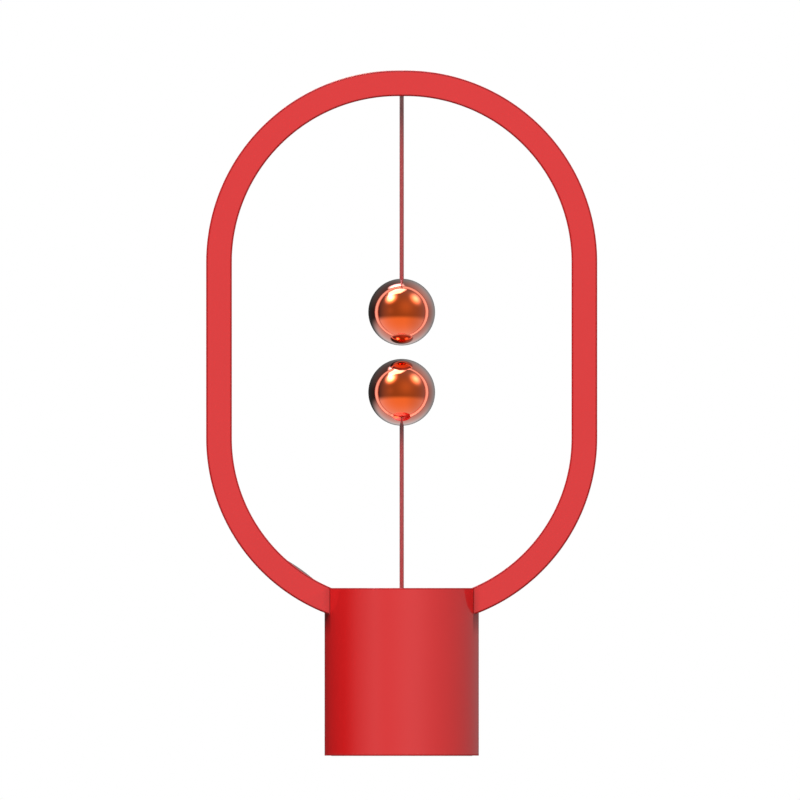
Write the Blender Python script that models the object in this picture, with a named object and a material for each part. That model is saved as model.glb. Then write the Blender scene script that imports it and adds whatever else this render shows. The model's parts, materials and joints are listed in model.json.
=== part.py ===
# Magnetic balance lamp: an oval light frame on a round base, with two tethered balls
# Metres, +Z up, front towards -Y, origin on the floor under the middle of the base
import math

import bmesh
import bpy
from mathutils import Matrix, Vector

# Overall sizes
OVERALL_HEIGHT = 0.400
BASE_RADIUS = 0.045
BASE_HEIGHT = 0.098
FRAME_HALF_WIDTH = 0.1141
FRAME_BAND = 0.015
FRAME_DEPTH = 0.032
BALL_RADIUS = 0.0195
BALL_GAP = 0.0078
UPPER_BALL_DROP = 0.126
CORD_RADIUS = 0.00125

# Clearances and drawing accuracy
GAP = 0.0003
THREAD_GAP = 0.0003
OVERRUN = 0.002
MERGE_DISTANCE = 0.000001
ROUND_STEPS = 48
SMALL_STEPS = 16
SCREW_STEPS = 8
CORD_STEPS = 10
SHARP_ANGLE = math.radians(28)

# Frame: flats between the corner arcs, how far it sinks into the base, walls and light slot
FRAME_TOP_FLAT_HALF = 0.0023
FRAME_LOW_FLAT_HALF = 0.0044
FRAME_SINK = 0.0073
FRAME_WALL = 0.002
FRAME_EDGE = 0.0009
FRAME_EDGE_STEPS = 2
LIP_THICKNESS = 0.002
LIP_WIDTH = 0.004
LEG_REACH = 0.0219
CORNER_STEPS = 14
LEG_STEPS = 12

# Light: diffuser, strip with its chips, cover over the feed at the lower left
DIFFUSER_RECESS = 0.0004
DIFFUSER_WING = 0.0012
STRIP_HALF_WIDTH = 0.005
STRIP_THICKNESS = 0.001
CHIP_HALF_SIZE = 0.0025
CHIP_HEIGHT = 0.0012
CHIP_BITE = 0.0003
CHIP_PITCH = 0.025
CHIP_KEEP_OFF = 0.009
COVER_START_ANGLE = math.radians(229)
COVER_END_ANGLE = math.radians(240)
COVER_STEPS = 8
COVER_LAP = 0.0016
COVER_EDGE = 0.0004
COVER_RISE = 0.0008
PLUG_LENGTH = 0.014
PLUG_STEPS = 5

# Base shell, lid, bottom cover, foot pad and ballast
BASE_WALL = 0.0025
BASE_EDGE = 0.0007
SHELL_LIFT = 0.0006
LID_THICKNESS = 0.0025
LEDGE_WIDTH = 0.0023
LEDGE_HEIGHT = 0.0022
PAD_THICKNESS = 0.0016
PAD_INSET = 0.001
PAD_EDGE = 0.0004
COVER_PLATE = 0.0025
FLANGE_WIDTH = 0.005
FLANGE_HEIGHT = 0.007
BALLAST_EDGE = 0.0010

# Screws: shank radius, head radius, head height, shank length
M3_RADIUS = 0.0015
M3_HEAD_RADIUS = 0.0027
M3_HEAD_HEIGHT = 0.0020
SOCKET_RADIUS = 0.0012
SOCKET_DEPTH = 0.0010
LID_SCREW_LENGTH = 0.016
FRAME_SCREW_LENGTH = 0.019
SWITCH_SCREW_RADIUS = 0.0010
SWITCH_SCREW_HEAD = 0.0018
SWITCH_SCREW_HEAD_HEIGHT = 0.0012
COVER_SCREW_COUNT = 3
COVER_SCREW_RADIUS = 0.00125
COVER_SCREW_HEAD = 0.0023
COVER_SCREW_CONE = 0.0014
COVER_SCREW_SHANK = 0.0050
COVER_SCREW_REST = 0.0002
CRADLE_SCREW_RADIUS = 0.0020
CRADLE_SCREW_HEAD = 0.0035
CRADLE_SCREW_HEAD_HEIGHT = 0.0026
CRADLE_SCREW_DEPTH = 0.006

# Cradle that carries the frame legs, the switch and the cord guide
CRADLE_PLATE = 0.004
CRADLE_SEAT_DEPTH = 0.0057
CRADLE_SHY = 0.002
CRADLE_WALL_GAP = 0.0025
SEAT_HEIGHT = 0.014
PILLAR_THICKNESS = 0.0085
FOOT_LENGTH = 0.0085
FOOT_THICKNESS = 0.003
NOSE_HOLE_RADIUS = 0.0040
LID_SCREW_INSET = 0.0066
LID_SCREW_Y = 0.0105
BOSS_RADIUS = 0.0031
FRAME_SCREW_INSET = 0.0046
FRAME_SCREW_Y = 0.009
SWITCH_TAB_THICKNESS = 0.003
WIRE_SLOT_INSET = 0.0034
WIRE_SLOT_Y = -0.0056
WIRE_SLOT_RADIUS = 0.0016

# Switch, plunger, spring and guide
PULL_TRAVEL = 0.003
SWITCH_HALF_LENGTH = 0.010
SWITCH_HALF_WIDTH = 0.0032
SWITCH_HEIGHT = 0.0107
SWITCH_TOP_BELOW_PLATE = 0.0083
SWITCH_SCREW_X = 0.0062
SWITCH_SCREW_DROP = 0.0074
BUTTON_RADIUS = 0.0016
BUTTON_SINK = 0.0032
BUTTON_WELL = 0.0068
NOSE_RADIUS = 0.0028
FLANGE_RADIUS = 0.0043
PLUNGER_FLANGE = 0.002
FLANGE_ABOVE_PLATE = 0.0006
STEM_RADIUS = 0.0024
STEM_LENGTH = 0.004
ANCHOR_RADIUS = 0.0019
ANCHOR_HEIGHT = 0.003
GUIDE_INNER = 0.0047
GUIDE_WALL = 0.0019
GUIDE_FOOT_RADIUS = 0.0080
GUIDE_FOOT = 0.002
SPRING_RADIUS = 0.00355
SPRING_WIRE = 0.00035
SPRING_TURNS = 6
SPRING_POINTS = 8

# Bushes that the cords come out of, and where each cord pivots in its bush
BUSH_BODY_RADIUS = 0.0052
BUSH_FLANGE_RADIUS = 0.0066
BUSH_FLANGE = 0.0012
BUSH_RECESS = 0.0001
LOWER_BUSH_MOUTH = 0.0034
LOWER_PIVOT_DEPTH = 0.004
LOWER_THROAT_DEPTH = 0.0026
UPPER_BUSH_MOUTH = 0.0045
UPPER_PIVOT_DEPTH = 0.0026
UPPER_THROAT_DEPTH = 0.0023
THROAT_RADIUS = 0.0022
BEAD_RADIUS = 0.0013
BEAD_RINGS = 6
POCKET_RADIUS = 0.0030
POCKET_HEIGHT = 0.0050
FERRULE_RADIUS = 0.0023
FERRULE_HEIGHT = 0.004

# Balls: shell wall, magnet, its holder, the crimp on the cord's end
BALL_WALL = 0.0014
BALL_STEPS = 30
BALL_RINGS = 8
BALL_INNER_RINGS = 4
CORD_HOLE_GAP = 0.0003
CORD_BITE = 0.0020
CRIMP_RADIUS = 0.0030
CRIMP_HEIGHT = 0.0045
MAGNET_RADIUS = 0.008
MAGNET_HEIGHT = 0.006
HOLDER_WALL = 0.0015
HOLDER_FLOOR = 0.0015

# Circuit board, its tray and what is soldered to it
BOARD_ROOM = 0.019
TRAY_GAP = 0.003
TRAY_FRONT = 0.016
TRAY_WALL_GAP = 0.0025
TRAY_THICKNESS = 0.002
POST_RADIUS = 0.0022
POST_HEIGHT = 0.0034
POST_INSET = 0.0030
BOARD_THICKNESS = 0.0016
BOARD_MARGIN = 0.0005
SOCKET_HALF_WIDTH = 0.0046
SOCKET_HEIGHT = 0.0033
SOCKET_LENGTH = 0.0105
SOCKET_WALL = 0.0004
SOCKET_CAVITY = 0.0065
SOCKET_SINK = 0.0004
TONGUE_HALF_WIDTH = 0.0033
TONGUE_THICKNESS = 0.0007
TONGUE_LENGTH = 0.0050
CHIP_CASE_HALF = 0.003
CHIP_CASE_HEIGHT = 0.0014
CHIP_CASE_Y = 0.022
CAPACITOR_RADIUS = 0.0032
CAPACITOR_HEIGHT = 0.008
CAPACITOR_Y = 0.012
CAPACITOR_INSET = 0.002
WIRE_RADIUS = 0.0008
WIRE_FOOT_INSET = 0.0045
WIRE_LEAD = 0.006
SWITCH_WIRE_X = 0.006

# Finishes: colour, metallic, roughness
RED_PAINT = ((0.72, 0.055, 0.055), 0.0, 0.32)
COPPER_MIRROR = ((0.95, 0.36, 0.16), 1.0, 0.05)
OPAL = ((0.93, 0.91, 0.88), 0.0, 0.5)
RED_CORD = ((0.42, 0.055, 0.06), 0.0, 0.8)
BLACK_RUBBER = ((0.02, 0.02, 0.02), 0.0, 0.9)
BLACK_PLASTIC = ((0.03, 0.03, 0.035), 0.0, 0.55)
GREY_PLASTIC = ((0.32, 0.29, 0.28), 0.0, 0.45)
WHITE_PLASTIC = ((0.75, 0.75, 0.73), 0.0, 0.55)
GREEN_BOARD = ((0.02, 0.14, 0.06), 0.0, 0.5)
STEEL = ((0.55, 0.56, 0.58), 1.0, 0.35)
CAST_IRON = ((0.10, 0.10, 0.11), 0.8, 0.7)
BRASS = ((0.75, 0.55, 0.24), 1.0, 0.3)

# Heights that several pieces share, from the floor up
PAD_TOP = PAD_THICKNESS
COVER_BOTTOM = PAD_TOP + GAP
COVER_TOP = COVER_BOTTOM + COVER_PLATE
BALLAST_BOTTOM = COVER_TOP + GAP
SHELL_INNER = BASE_RADIUS - BASE_WALL
LID_BOTTOM = BASE_HEIGHT - LID_THICKNESS
LEDGE_TOP = LID_BOTTOM - GAP

# The frame's inner face as four corner arcs joined by straights
INNER_HALF_WIDTH = FRAME_HALF_WIDTH - FRAME_BAND
SLOT_HALF_WIDTH = FRAME_DEPTH / 2 - LIP_WIDTH
LEG_END_X = SHELL_INNER - LEG_REACH
TOP_RADIUS = INNER_HALF_WIDTH - FRAME_TOP_FLAT_HALF
LOW_RADIUS = INNER_HALF_WIDTH - FRAME_LOW_FLAT_HALF
FRAME_CEILING = OVERALL_HEIGHT - FRAME_BAND
TOP_CENTRE_Z = FRAME_CEILING - TOP_RADIUS
LOW_CENTRE_Z = BASE_HEIGHT - FRAME_SINK + LOW_RADIUS
LEG_END_ANGLE = math.acos((LEG_END_X - FRAME_LOW_FLAT_HALF) / (LOW_RADIUS + FRAME_BAND))
FRAME_LOWEST = LOW_CENTRE_Z - LOW_RADIUS - FRAME_BAND
PLATE_TOP = FRAME_LOWEST - CRADLE_SEAT_DEPTH
PLATE_BOTTOM = PLATE_TOP - CRADLE_PLATE

# Places of the balls and of the two cord pivots
UPPER_PIVOT_Z = FRAME_CEILING + DIFFUSER_RECESS + UPPER_PIVOT_DEPTH
LOWER_PIVOT_Z = BASE_HEIGHT - LOWER_PIVOT_DEPTH
UPPER_BALL_Z = FRAME_CEILING - UPPER_BALL_DROP
LOWER_BALL_Z = UPPER_BALL_Z - BALL_RADIUS * 2 - BALL_GAP

# Routes of the two taut cords, and the widest step between a cord's points
UPPER_CORD_ROUTE = [(0, 0, UPPER_PIVOT_Z - BEAD_RADIUS - GAP),
                    (0, 0, UPPER_BALL_Z + BALL_RADIUS - CORD_BITE)]
LOWER_CORD_ROUTE = [(0, 0, LOWER_PIVOT_Z + BEAD_RADIUS + GAP),
                    (0, 0, LOWER_BALL_Z - BALL_RADIUS + CORD_BITE)]
CORD_POINT_STEP = CORD_RADIUS * 6

# Plunger heights, with the cord pulled up as in use
NOSE_BOTTOM = PLATE_BOTTOM
FLANGE_BOTTOM = PLATE_TOP + PULL_TRAVEL + FLANGE_ABOVE_PLATE
FLANGE_TOP = FLANGE_BOTTOM + PLUNGER_FLANGE
STEM_TOP = FLANGE_TOP + STEM_LENGTH
ANCHOR_BOTTOM = STEM_TOP + GAP
ANCHOR_TOP = ANCHOR_BOTTOM + ANCHOR_HEIGHT
LOWER_BUSH_BOTTOM = LID_BOTTOM - GAP - BUSH_FLANGE
GUIDE_TOP = LOWER_BUSH_BOTTOM - GAP
SWITCH_TOP = PLATE_BOTTOM - SWITCH_TOP_BELOW_PLATE
SWITCH_BOTTOM = SWITCH_TOP - SWITCH_HEIGHT

# The ballast fills what the switch and the board leave below them
BALLAST_TOP = SWITCH_BOTTOM - BOARD_ROOM
FOOT_BOTTOM = BALLAST_TOP + GAP
BOARD_BOTTOM = FOOT_BOTTOM + TRAY_THICKNESS + POST_HEIGHT + GAP
BOARD_TOP = BOARD_BOTTOM + BOARD_THICKNESS


def remove_old_objects():
    for old in list(bpy.data.objects):
        bpy.data.objects.remove(old, do_unlink=True)


def give_finish(thing, finish):
    colour, metallic, roughness = finish
    material = bpy.data.materials.new(thing.name + " finish")
    material.use_nodes = True
    shader = material.node_tree.nodes["Principled BSDF"]
    shader.inputs["Base Color"].default_value = (*colour, 1)
    shader.inputs["Metallic"].default_value = metallic
    shader.inputs["Roughness"].default_value = roughness
    thing.data.materials.append(material)


def add_solid(name, bm, finish=None):
    bmesh.ops.remove_doubles(bm, verts=bm.verts, dist=MERGE_DISTANCE)
    bmesh.ops.recalc_face_normals(bm, faces=bm.faces)
    mesh = bpy.data.meshes.new(name)
    bm.to_mesh(mesh)
    bm.free()
    thing = bpy.data.objects.new(name, mesh)
    bpy.context.collection.objects.link(thing)
    if finish:
        give_finish(thing, finish)
        mesh.shade_smooth()
        mesh.set_sharp_from_angle(angle=SHARP_ANGLE)
    else:
        thing.hide_render = True
        thing.display_type = "WIRE"
    return thing


def boolean(target, other, operation="DIFFERENCE"):
    step = target.modifiers.new(other.name, "BOOLEAN")
    step.operation = operation
    step.solver = "EXACT"
    step.object = other


def box_into(bm, low, high):
    low, high = Vector(low), Vector(high)
    size = Matrix.Diagonal(high - low).to_4x4()
    bmesh.ops.create_cube(bm, size=1, matrix=Matrix.Translation((low + high) / 2) @ size)


def rod_into(bm, radius, start, end, steps=SMALL_STEPS, end_radius=None):
    start, end = Vector(start), Vector(end)
    turn = (end - start).to_track_quat("Z", "Y").to_matrix().to_4x4()
    place = Matrix.Translation((start + end) / 2) @ turn
    tip = radius if end_radius is None else end_radius
    bmesh.ops.create_cone(bm, cap_ends=True, segments=steps, radius1=radius, radius2=tip,
                          depth=(end - start).length, matrix=place)


def boxes(name, corners, finish=None):
    bm = bmesh.new()
    for low, high in corners:
        box_into(bm, low, high)
    return add_solid(name, bm, finish)


def rods(name, radius, ends, finish=None, steps=SMALL_STEPS):
    bm = bmesh.new()
    for start, end in ends:
        rod_into(bm, radius, start, end, steps)
    return add_solid(name, bm, finish)


def lathe(name, outline, finish=None, steps=ROUND_STEPS):
    """Spin a closed half section of (radius, height) points about Z."""
    bm = bmesh.new()
    corners = [bm.verts.new((radius, 0, height)) for radius, height in outline]
    edges = []
    for first, second in zip(corners, corners[1:] + corners[:1]):
        if first.co.x > 0 or second.co.x > 0:
            edges.append(bm.edges.new((first, second)))
    bmesh.ops.spin(bm, geom=corners + edges, cent=(0, 0, 0), axis=(0, 0, 1),
                   angle=math.tau, steps=steps, use_merge=True)
    return add_solid(name, bm, finish)


def arc(centre, radius, start, end, steps):
    points = []
    for index in range(steps + 1):
        angle = start + (end - start) * index / steps
        points.append((centre[0] + radius * math.cos(angle), centre[1] + radius * math.sin(angle)))
    return points


def arc_stations(centre, start, end, steps, radius):
    """Places on an arc in the XZ plane, each with its outward direction."""
    stations = []
    for x, z in arc(centre, radius, start, end, steps):
        place = Vector((x, 0, z))
        stations.append((place, (place - Vector((centre[0], 0, centre[1]))).normalized()))
    return stations


def frame_stations(leg_angle=LEG_END_ANGLE):
    """The inner face's line from the left leg's end, over the top, to the right leg's end."""
    quarter = math.pi / 2
    low_left = (-FRAME_LOW_FLAT_HALF, LOW_CENTRE_Z)
    top_left = (-FRAME_TOP_FLAT_HALF, TOP_CENTRE_Z)
    top_right = (FRAME_TOP_FLAT_HALF, TOP_CENTRE_Z)
    low_right = (FRAME_LOW_FLAT_HALF, LOW_CENTRE_Z)
    line = arc_stations(low_left, math.pi + leg_angle, math.pi, LEG_STEPS, LOW_RADIUS)
    line += arc_stations(top_left, math.pi, quarter, CORNER_STEPS, TOP_RADIUS)
    line += arc_stations(top_right, quarter, 0, CORNER_STEPS, TOP_RADIUS)
    line += arc_stations(low_right, 0, -leg_angle, LEG_STEPS, LOW_RADIUS)
    return line


def sweep_into(bm, stations, sections):
    """Join one section of (outward, across) points a station into a closed solid."""
    rings = []
    for (place, outward), section in zip(stations, sections):
        ring = []
        for out, across in section:
            ring.append(bm.verts.new(place + outward * out + Vector((0, across, 0))))
        rings.append(ring)
    for here, there in zip(rings, rings[1:]):
        for index in range(len(here)):
            after = (index + 1) % len(here)
            bm.faces.new((here[index], here[after], there[after], there[index]))
    bm.faces.new(rings[0])
    bm.faces.new(rings[-1])


def sweep(name, stations, section, finish=None):
    bm = bmesh.new()
    sweep_into(bm, stations, [section] * len(stations))
    return add_solid(name, bm, finish)


def rectangle(out_low, out_high, half_width):
    return [(out_low, -half_width), (out_high, -half_width),
            (out_high, half_width), (out_low, half_width)]


def places_along(stations, pitch):
    """Evenly spaced places on the line, with their direction and outward normal."""
    found = []
    travelled = 0
    for (start, start_out), (end, end_out) in zip(stations, stations[1:]):
        length = (end - start).length
        while length and len(found) * pitch <= travelled + length:
            share = (len(found) * pitch - travelled) / length
            outward = start_out.lerp(end_out, share).normalized()
            found.append((start.lerp(end, share), outward))
        travelled += length
    return found


def frame_clearance(name):
    """The room that the frame's legs take in the base, with the running gap all round."""
    section = rectangle(-GAP, FRAME_BAND + GAP, FRAME_DEPTH / 2 + GAP)
    return sweep(name, frame_stations(LEG_END_ANGLE + GAP / LOW_RADIUS), section)


def build_frame_shells():
    half = FRAME_DEPTH / 2
    outer = (FRAME_BAND - FRAME_EDGE, half - FRAME_EDGE)
    inner = (FRAME_EDGE, half - FRAME_EDGE)
    outline = [(FRAME_BAND, GAP / 2)]
    outline += arc(outer, FRAME_EDGE, 0, math.pi / 2, FRAME_EDGE_STEPS)
    outline += arc(inner, FRAME_EDGE, math.pi / 2, math.pi, FRAME_EDGE_STEPS)
    outline += [(0, SLOT_HALF_WIDTH), (LIP_THICKNESS, SLOT_HALF_WIDTH),
                (LIP_THICKNESS, half - FRAME_WALL), (FRAME_BAND - FRAME_WALL, half - FRAME_WALL),
                (FRAME_BAND - FRAME_WALL, GAP / 2)]
    for name, side in (("frame_front_shell", -1), ("frame_rear_shell", 1)):
        section = [(out, across * side) for out, across in outline]
        shell = sweep(name, frame_stations(), section, RED_PAINT)
        boolean(shell, bpy.data.objects["frame_screw_holes"])


def build_light():
    face = SLOT_HALF_WIDTH - GAP
    wing = FRAME_DEPTH / 2 - FRAME_WALL - GAP
    wing_low = LIP_THICKNESS + GAP
    wing_high = wing_low + DIFFUSER_WING
    section = [(DIFFUSER_RECESS, -face), (DIFFUSER_RECESS, face), (wing_low, face), (wing_low, wing),
               (wing_high, wing), (wing_high, -wing), (wing_low, -wing), (wing_low, -face)]
    diffuser = sweep("light_diffuser", frame_stations(), section, OPAL)
    hole_low = FRAME_CEILING - OVERRUN
    hole_high = FRAME_CEILING + wing_high + OVERRUN
    hole = rods("diffuser_hole", BUSH_BODY_RADIUS + GAP, [((0, 0, hole_low), (0, 0, hole_high))])
    boolean(diffuser, hole)

    strip_high = FRAME_BAND - FRAME_WALL - GAP
    strip_low = strip_high - STRIP_THICKNESS
    section = rectangle(strip_low, strip_high, STRIP_HALF_WIDTH)
    strip = sweep("led_strip", frame_stations(), section, WHITE_PLASTIC)
    bm = bmesh.new()
    chips = places_along(frame_stations(), CHIP_PITCH)
    ends = [frame_stations()[0][0], frame_stations()[-1][0]]
    for place, outward in chips:
        near_end = min((place - end).length for end in ends) < PLUG_LENGTH + CHIP_KEEP_OFF
        under_bush = place.z > TOP_CENTRE_Z and abs(place.x) < CHIP_KEEP_OFF
        if near_end or under_bush:
            continue
        along = Vector((0, 1, 0)).cross(outward)
        half_along = along * CHIP_HALF_SIZE
        stations = [(place - half_along, outward), (place + half_along, outward)]
        chip = rectangle(strip_low - CHIP_HEIGHT, strip_low + CHIP_BITE, CHIP_HALF_SIZE)
        sweep_into(bm, stations, [chip, chip])
    boolean(strip, add_solid("chip_blocks", bm), "UNION")


def build_feed_cover():
    line = arc_stations((-FRAME_LOW_FLAT_HALF, LOW_CENTRE_Z), COVER_START_ANGLE,
                        COVER_END_ANGLE, COVER_STEPS, LOW_RADIUS)
    sections = []
    for index in range(len(line)):
        rise = COVER_EDGE + COVER_RISE * math.sin(math.pi * index / COVER_STEPS)
        sections.append(rectangle(-GAP - rise, -GAP, SLOT_HALF_WIDTH + COVER_LAP))
    bm = bmesh.new()
    sweep_into(bm, line, sections)
    add_solid("strip_feed_cover", bm, GREY_PLASTIC)


def build_leg_plugs():
    low = LIP_THICKNESS + GAP + DIFFUSER_WING + GAP
    high = FRAME_BAND - FRAME_WALL - GAP - STRIP_THICKNESS - GAP
    section = rectangle(low, high, FRAME_DEPTH / 2 - FRAME_WALL - GAP)
    sweep_angle = PLUG_LENGTH / LOW_RADIUS
    for name, side in (("leg_plug_left", -1), ("leg_plug_right", 1)):
        centre = (side * FRAME_LOW_FLAT_HALF, LOW_CENTRE_Z)
        end = -LEG_END_ANGLE if side > 0 else math.pi + LEG_END_ANGLE
        line = arc_stations(centre, end, end + side * sweep_angle, PLUG_STEPS, LOW_RADIUS)
        plug = sweep(name, line, section, BLACK_PLASTIC)
        boolean(plug, bpy.data.objects["frame_screw_holes"])


def build_base_shell():
    edge = (BASE_RADIUS - BASE_EDGE, BASE_HEIGHT - BASE_EDGE)
    outline = [(SHELL_INNER, SHELL_LIFT), (BASE_RADIUS - BASE_EDGE, SHELL_LIFT),
               (BASE_RADIUS, SHELL_LIFT + BASE_EDGE)]
    outline += arc(edge, BASE_EDGE, 0, math.pi / 2, FRAME_EDGE_STEPS)
    ledge_root = LEDGE_TOP - LEDGE_HEIGHT - LEDGE_WIDTH
    outline += [(SHELL_INNER, BASE_HEIGHT), (SHELL_INNER, LEDGE_TOP),
                (SHELL_INNER - LEDGE_WIDTH, LEDGE_TOP),
                (SHELL_INNER - LEDGE_WIDTH, LEDGE_TOP - LEDGE_HEIGHT), (SHELL_INNER, ledge_root),
                (SHELL_INNER, BALLAST_BOTTOM + FLANGE_HEIGHT),
                (SHELL_INNER - FLANGE_WIDTH, BALLAST_BOTTOM + FLANGE_HEIGHT),
                (SHELL_INNER - FLANGE_WIDTH, BALLAST_BOTTOM), (SHELL_INNER, BALLAST_BOTTOM)]
    shell = lathe("base_shell", outline, RED_PAINT)
    boolean(shell, bpy.data.objects["leg_clearance"])
    boolean(shell, bpy.data.objects["cover_screw_threads"])
    low = (-SOCKET_HALF_WIDTH - GAP, SHELL_INNER - OVERRUN, BOARD_TOP)
    high = (SOCKET_HALF_WIDTH + GAP, BASE_RADIUS + OVERRUN, BOARD_TOP + GAP + SOCKET_HEIGHT + GAP)
    boolean(shell, boxes("socket_window", [(low, high)]))


def build_base_lid():
    radius = SHELL_INNER - GAP
    outline = [(0, LID_BOTTOM), (radius, LID_BOTTOM), (radius, BASE_HEIGHT), (0, BASE_HEIGHT)]
    lid = lathe("base_lid", outline, RED_PAINT)
    ends = []
    for x, y in lid_screw_spots():
        ends.append(((x, y, PLATE_TOP + GAP), (x, y, LID_BOTTOM + BASE_EDGE)))
    boolean(lid, rods("lid_bosses", BOSS_RADIUS, ends), "UNION")
    boolean(lid, bpy.data.objects["leg_clearance"])
    boolean(lid, bpy.data.objects["lid_screw_holes"])
    hole = rods("lid_cord_hole", BUSH_BODY_RADIUS + GAP,
                [((0, 0, LID_BOTTOM - OVERRUN), (0, 0, BASE_HEIGHT + OVERRUN))])
    boolean(lid, hole)


def cover_screw_spots():
    radius = SHELL_INNER - FLANGE_WIDTH / 2
    spots = []
    for index in range(COVER_SCREW_COUNT):
        angle = math.tau * index / COVER_SCREW_COUNT
        spots.append((radius * math.sin(angle), radius * math.cos(angle)))
    return spots


def build_bottom():
    pad = SHELL_INNER - PAD_INSET
    outline = [(0, 0), (pad - PAD_EDGE, 0), (pad, PAD_EDGE), (pad, PAD_TOP), (0, PAD_TOP)]
    lathe("foot_pad", outline, BLACK_RUBBER)
    radius = SHELL_INNER - GAP
    outline = [(0, COVER_BOTTOM), (radius, COVER_BOTTOM), (radius, COVER_TOP), (0, COVER_TOP)]
    cover = lathe("bottom_cover", outline, BLACK_PLASTIC)
    head_low = COVER_BOTTOM + COVER_SCREW_REST
    cone_top = head_low + COVER_SCREW_CONE
    tip = cone_top + COVER_SCREW_SHANK
    bm = bmesh.new()
    for x, y in cover_screw_spots():
        rod_into(bm, COVER_SCREW_HEAD + GAP, (x, y, COVER_BOTTOM - OVERRUN), (x, y, head_low + GAP))
    boolean(cover, add_solid("countersinks", bm))
    bm = bmesh.new()
    for x, y in cover_screw_spots():
        rod_into(bm, COVER_SCREW_HEAD + GAP, (x, y, head_low), (x, y, cone_top + GAP),
                 end_radius=COVER_SCREW_RADIUS + GAP)
    boolean(cover, add_solid("countersink_cones", bm))
    ends = [((x, y, head_low), (x, y, tip + GAP)) for x, y in cover_screw_spots()]
    threads = rods("cover_screw_threads", COVER_SCREW_RADIUS + THREAD_GAP, ends)
    boolean(cover, threads)
    for number, (x, y) in enumerate(cover_screw_spots(), 1):
        outline = [(0, head_low), (COVER_SCREW_HEAD, head_low), (COVER_SCREW_RADIUS, cone_top),
                   (COVER_SCREW_RADIUS, tip), (0, tip)]
        screw = lathe("cover_screw_%d" % number, outline, STEEL, SCREW_STEPS)
        screw.location = (x, y, 0)
    ballast = SHELL_INNER - FLANGE_WIDTH - GAP
    outline = [(0, BALLAST_BOTTOM), (ballast, BALLAST_BOTTOM), (ballast, BALLAST_TOP - BALLAST_EDGE),
               (ballast - BALLAST_EDGE, BALLAST_TOP), (0, BALLAST_TOP)]
    iron = lathe("ballast_plate", outline, CAST_IRON)
    boolean(iron, bpy.data.objects["cradle_screw_threads"])


def cradle_half_depth():
    return FRAME_DEPTH / 2 - CRADLE_SHY


def cradle_half_length():
    return math.sqrt((SHELL_INNER - CRADLE_WALL_GAP) ** 2 - cradle_half_depth() ** 2)


def cradle_screw_x():
    return cradle_half_length() - PILLAR_THICKNESS - FOOT_LENGTH / 2


def lid_screw_spots():
    reach = LEG_END_X - LID_SCREW_INSET
    return [(x, y) for x in (-reach, reach) for y in (-LID_SCREW_Y, LID_SCREW_Y)]


def frame_screw_spots():
    reach = LEG_END_X + FRAME_SCREW_INSET
    return [(x, y) for x in (-reach, reach) for y in (-FRAME_SCREW_Y, FRAME_SCREW_Y)]


def screw_ends(spots, length, spare=0):
    head_top = PLATE_BOTTOM - GAP
    return [((x, y, head_top - spare), (x, y, head_top + length + spare)) for x, y in spots]


def build_holes():
    """Clearances that more than one piece is cut by."""
    frame_clearance("leg_clearance")
    frame_ends = screw_ends(frame_screw_spots(), FRAME_SCREW_LENGTH, THREAD_GAP)
    rods("frame_screw_holes", M3_RADIUS + THREAD_GAP, frame_ends, steps=SCREW_STEPS)
    lid_ends = screw_ends(lid_screw_spots(), LID_SCREW_LENGTH, THREAD_GAP)
    rods("lid_screw_holes", M3_RADIUS + THREAD_GAP, lid_ends, steps=SCREW_STEPS)
    ends = []
    low = BALLAST_TOP - CRADLE_SCREW_DEPTH - THREAD_GAP
    high = FOOT_BOTTOM + FOOT_THICKNESS + OVERRUN
    for x in (-cradle_screw_x(), cradle_screw_x()):
        ends.append(((x, 0, low), (x, 0, high)))
    rods("cradle_screw_threads", CRADLE_SCREW_RADIUS + THREAD_GAP, ends, steps=SCREW_STEPS)


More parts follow.
